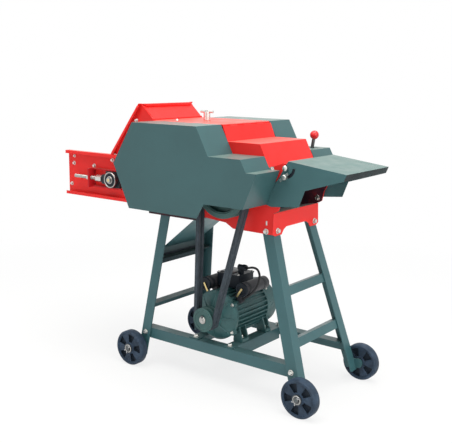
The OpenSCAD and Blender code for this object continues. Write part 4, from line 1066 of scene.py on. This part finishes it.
def make_hood_heads():
    pivot_y = 150
    pivot_crown = [(0, -1), (8.6, -1), (8.6, 0.4), (7.6, 2), (5, 3.2), (0, 3.6)]
    clamp_y = 155
    clamp_crown = [(0, -1), (8.2, -1), (8.2, 0.6), (6.8, 2), (0, 2.6)]
    drop = 28
    clamp = (HOOD_PIVOT[0], HOOD_PIVOT[1] - drop)
    pad_radii = (drop - 6.5, drop + 6.5)
    pad_sweep = (-118, -3)
    pad_y = PLATE_Y + 0.02
    pad_thick = 1.2
    heads = []
    pads = bmesh.new()
    for side in SIDES:
        heads.append((pivot_crown, 32, out_of_side(side, HOOD_PIVOT, pivot_y)))
        heads.append((clamp_crown, 28, out_of_side(side, clamp, clamp_y)))
        add_arc_pad(pads, HOOD_PIVOT, pad_radii, pad_sweep, side * pad_y, side * pad_thick)
    turned_piece("hood_bolt_heads", heads, zinc_plate, STAND)
    new_piece("hood_friction_pads", pads, black_plastic, STAND)


def make_shaft_ends():
    shaft_end_y = -206.6
    pulley_face_y = -203.6
    ends = (("motor", MOTOR, 13, 36, "motor_rotor_group"), ("drum", DRUM, 15, 88, "drum_group"))
    for name, (x, z), shaft_r, rim_r, body in ends:
        shaft_face = facing(NEAR, (x, shaft_end_y, z))
        pulley_face = facing(NEAR, (x, pulley_face_y, z))
        crown = [(0, 0), (shaft_r - 0.2, 0), (shaft_r - 1.4, 1.8), (3.4, 1.8), (1.6, 0.4), (0, 0.4)]
        lip = [(rim_r - 4, -0.4), (rim_r, -0.4), (rim_r, 1), (rim_r - 1, 2), (rim_r - 3, 2), (rim_r - 4, 1)]
        turned_piece(name + "_shaft_tip", [(crown, 40, shaft_face)], ground_steel, body)
        key = bmesh.new()
        add_block(key, (-4, shaft_r - 6, -2), (4, shaft_r + 3.4, 2.4), 0.5, 2, shaft_face)
        new_piece(name + "_shaft_key", key, black_oxide, body)
        turned_piece(name + "_pulley_rim", [(lip, 64, pulley_face)], pulley_enamel, body)


# Wheels

def make_wheels():
    """Tyre, hub, web and wedge spokes of each wheel."""
    half = 17
    face = 14
    spoke_face = face - 0.2
    web = 5
    spokes = 5
    spoke_sweep = 38
    hub_r = 20.5
    rim_r = 52
    first_pockets = {"feed": 78, "outlet": 114}
    rim = [(rim_r, -face), (rim_r + 2, -face), (rim_r + 3, -half), (WHEEL_R - 4, -half), (WHEEL_R, -half + 5)]
    hub = [(WHEEL_BORE, -half - 1), (hub_r, -half - 1), (hub_r + 1, -face), (hub_r + 2, -face)]
    disc = [(hub_r, -web), (rim_r + 1, -web)]
    spoke_radii = (hub_r + 1, rim_r + 1)
    for x, (end, first_pocket) in zip(WHEEL_X, first_pockets.items()):
        for side, flank in zip(SIDES, ("drive", "gear")):
            node = f"wheel_{end}_{flank}"
            shape = bmesh.new()
            place = out_of_side(side, (x, WHEEL_R), WHEEL_Y)
            for profile in (rim, hub, disc):
                other_half = [(radius, -height) for radius, height in reversed(profile)]
                add_lathe(shape, profile + other_half, 72, place)
            spoke_y = side * WHEEL_Y - spoke_face
            for k in range(spokes):
                middle = first_pocket + (k + 0.5) * 360 / spokes
                sweep = (middle - spoke_sweep / 2, middle + spoke_sweep / 2)
                add_arc_pad(shape, (x, WHEEL_R), spoke_radii, sweep, spoke_y, 2 * spoke_face)
            wheel = new_piece("spoked_" + node, shape, wheel_rubber, node + "_group")
            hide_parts(node)


# Lever ball

def make_knob():
    """The lever's ball, with a socket under it for the rod."""
    socket_top = -12
    steps = 24
    start = -math.acos(LEVER_R / KNOB_R)
    profile = [(0, socket_top), (LEVER_R, socket_top)]
    for k in range(steps):
        a = start + (math.pi / 2 - start) * k / steps
        profile.append((KNOB_R * math.cos(a), KNOB_R * math.sin(a)))
    profile.append((0, KNOB_R))
    lean = Matrix.Rotation(math.radians(LEVER_LEAN), 4, "Y")
    middle = Matrix.Translation(LEVER_FOOT) @ lean @ Matrix.Translation((0, 0, KNOB_RISE))
    knob = turned_piece("lever_ball", [(profile, 48, middle)], red_plastic, "lever_group")
    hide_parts("shift_knob")


# Motor trim

def make_motor_trim():
    r = CAPACITOR_R
    cap_rim = [(r - 6, -1), (r + 1.6, -1), (r + 1.6, 3), (r, 5), (r - 5, 5), (r - 6, 3)]
    cap_floor = [(0, 0.2), (r - 6, 0.2), (r - 6, 1.6), (r - 12, 2.2), (0, 2.2)]
    rear_cap = [(0, -0.4), (r - 0.2, -0.4), (r - 0.2, 0.6), (r - 3, 2.6), (0, 2.6)]
    band = [(r - 0.3, -6), (r + 1.1, -6), (r + 1.1, 6), (r - 0.3, 6)]
    band_places = (-76, 12)
    strap = ((-3.4, -34, 4.6), (3.4, 5, 6.6))
    strap_leans = (30, -34)
    lid = bmesh.new()
    add_block(lid, (80, -50, LID_TOP - 0.6), (132, 22, LID_TOP + 2.2), 2, 3)
    new_piece("terminal_lid", lid, lid_plastic, STAND)
    caps = []
    bands_round = []
    straps = bmesh.new()
    for (x, z), lean in zip(CAPACITORS, strap_leans):
        front = facing(NEAR, (x, CAPACITOR_FRONT, z))
        rear = facing(FAR, (x, CAPACITOR_REAR, z))
        caps += [(cap_rim, 40, front), (cap_floor, 40, front), (rear_cap, 40, rear)]
        bands_round += [(band, 48, facing(FAR, (x, y, z))) for y in band_places]
        add_block(straps, *strap, 0.8, 2, front @ Matrix.Rotation(math.radians(lean), 4, "Z"))
    turned_piece("capacitor_caps", caps, black_plastic, STAND)
    new_piece("capacitor_straps", straps, brass_strip, STAND)
    turned_piece("capacitor_bands", bands_round, black_casting, STAND)


# Take-up trim

def make_take_up_trim():
    bearing_y = 160
    shaft_end_y = 170
    outer_ring = [(25.4, -1), (30.2, -1), (30.2, 1.2), (29, 2.8), (26.6, 2.8), (25.4, 1.6)]
    inner_ring = [(10.6, -1), (14.4, -1), (14.4, 3), (13.4, 4), (10.6, 4)]
    seal = [(14.4, -0.6), (25.4, -0.6), (25.4, 0.6), (20, 1.6), (14.4, 0.8)]
    shaft_tip = [(0, -0.6), (5.2, -0.6), (5.2, 0.2), (4.6, 0.8), (2.2, 0.8), (1.2, 0), (0, 0)]
    rings = []
    seals = []
    tips = []
    for side in SIDES:
        face = out_of_side(side, TAIL_ROLLER, bearing_y)
        rings += [(outer_ring, 56, face), (inner_ring, 48, face)]
        seals.append((seal, 48, face))
        tips.append((shaft_tip, 32, out_of_side(side, TAIL_ROLLER, shaft_end_y)))
    turned_piece("tail_bearing_rings", rings, ground_steel, STAND)
    turned_piece("tail_bearing_seals", seals, black_plastic, STAND)
    turned_piece("tail_shaft_tips", tips, brass_strip, "tail_roller_group")


# Sheet-metal trim

def add_side_block(shape, side, xs, ys, zs, radius):
    """A rounded block on one side of the machine, between pairs of x, y and z; y counts from the middle."""
    low_y, high_y = sorted(side * y for y in ys)
    add_block(shape, (xs[0], low_y, zs[0]), (xs[1], high_y, zs[1]), radius, 2)


def make_hopper_trim():
    """Rolled hems along the hopper's open edges, and its corner posts."""
    hems = bmesh.new()
    add_block(hems, (-213, -126, 950.5), (-206, 126, 961.2), 2.2, 3)
    foot = Vector((-368, 0, 770.5))
    peak = Vector((-223, 0, 962))
    sheet_y = 150.5
    short_of_peak = 9
    along = (peak - foot).normalized()
    across = Vector(FAR)
    turn = Matrix((along, across, along.cross(across))).transposed().to_4x4()
    hem = ((3, -2.5, -9), ((peak - foot).length - short_of_peak, 2.5, 0.2))
    for side in SIDES:
        edge = Matrix.Translation(foot + Vector((0, side * sheet_y, 0))) @ turn
        add_block(hems, *hem, 1.6, 3, edge)
        add_side_block(hems, side, (-178, -162), (131, 136.2), (868, 911), 1)
    new_piece("hopper_hems", hems, red_enamel, STAND)


def make_sheet_trim():
    seal = bmesh.new()
    # A dark rubber strip across the chute's foot closes the gap there: painted shadow
    add_block(seal, (-152, -104, 402), (-146.4, 104, 415), 1.5, 3)
    new_piece("chute_shadow_strip", seal, shadow_strip_rubber, STAND)
    tabs = bmesh.new()
    for side in SIDES:
        add_side_block(tabs, side, (329.6, 335.4), (138.4, 134.5), (587.6, 602.4), 0.8)
    new_piece("plate_tabs", tabs, zinc_plate, STAND)


# Light and floor

def add_area(name, place, size, watts, colour=(1, 1, 1)):
    """A square soft light that looks at the machine's middle."""
    middle = Vector((0, 0, 0.6))
    lamp = bpy.data.lights.new(name, "AREA")
    lamp.color = colour
    lamp.shape = "RECTANGLE"
    lamp.size = size
    lamp.size_y = size
    lamp.energy = watts
    light = bpy.data.objects.new(name, lamp)
    scene.collection.objects.link(light)
    turn = (Vector(place) - middle).to_track_quat("Z", "Y")
    light.matrix_world = Matrix.Translation(place) @ turn.to_matrix().to_4x4()


def seen_by_eye(tree):
    """1 for rays that should meet a white room: camera, glossy and transmission rays."""
    path = tree.nodes.new("ShaderNodeLightPath")
    either = reckon(tree, "MAXIMUM", path.outputs["Is Camera Ray"], path.outputs["Is Glossy Ray"])
    return reckon(tree, "MAXIMUM", either, path.outputs["Is Transmission Ray"])


def make_world():
    room_light = 0.37
    room_tint = (0.93, 0.98, 1)
    world = bpy.data.worlds.new("studio")
    world.use_nodes = True
    scene.world = world
    tree = world.node_tree
    seen = seen_by_eye(tree)
    tint = mix_colour(tree, seen, room_tint, (1, 1, 1))
    strength = span(tree, seen, 0, 1, room_light, 1.0)
    fill(tree, tree.nodes["Background"], {"Color": tint, "Strength": strength})


def make_floor():
    half = 30
    near_share = 0.8
    fade = (1.0, 2.4)
    corners = [(-half, -half, 0), (half, -half, 0), (half, half, 0), (-half, half, 0)]
    mesh = bpy.data.meshes.new("studio_floor")
    mesh.from_pydata(corners, [], [(0, 1, 2, 3)])
    floor = bpy.data.objects.new("studio_floor", mesh)
    scene.collection.objects.link(floor)
    material, tree, shader, place = blank("pale_floor")
    tone = mix_colour(tree, noise(tree, place, 3, 3), (0.92, 0.92, 0.92), (0.95, 0.95, 0.95))
    wire(tree, shader, Base_Color=tone, Roughness=0.9, Specular_IOR_Level=0.0)
    white = made(tree, "ShaderNodeEmission", {"Strength": 1.0})
    away = vector_sum(tree, "LENGTH", place, result="Value")
    share = reckon(tree, "MULTIPLY", span(tree, away, *fade, near_share, 1.0), seen_by_eye(tree))
    mixed = made(tree, "ShaderNodeMixShader", {0: share, 1: shader.outputs["BSDF"], 2: white})
    fill(tree, tree.nodes["Material Output"], {"Surface": mixed})
    mesh.materials.append(material)


def make_studio():
    make_world()
    make_floor()
    warm = (1, 0.985, 0.94)
    add_area("top_light", (0.2, -0.2, 3.2), 3.0, 118, warm)
    add_area("outlet_light", (3.2, -0.8, 1.9), 2.2, 44, warm)
    add_area("drive_light", (-0.9, -3.2, 1.7), 2.4, 9)
    scene.view_settings.view_transform = "Standard"


set_camera()
make_lead()
dress_nodes()
make_fasteners()
make_split_pins()
make_bell_ribs()
make_spring()
make_welds()
make_axle_ends()
make_hood_heads()
make_shaft_ends()
make_wheels()
make_knob()
make_motor_trim()
make_take_up_trim()
make_hopper_trim()
make_sheet_trim()
make_studio()

bpy.context.view_layer.update()
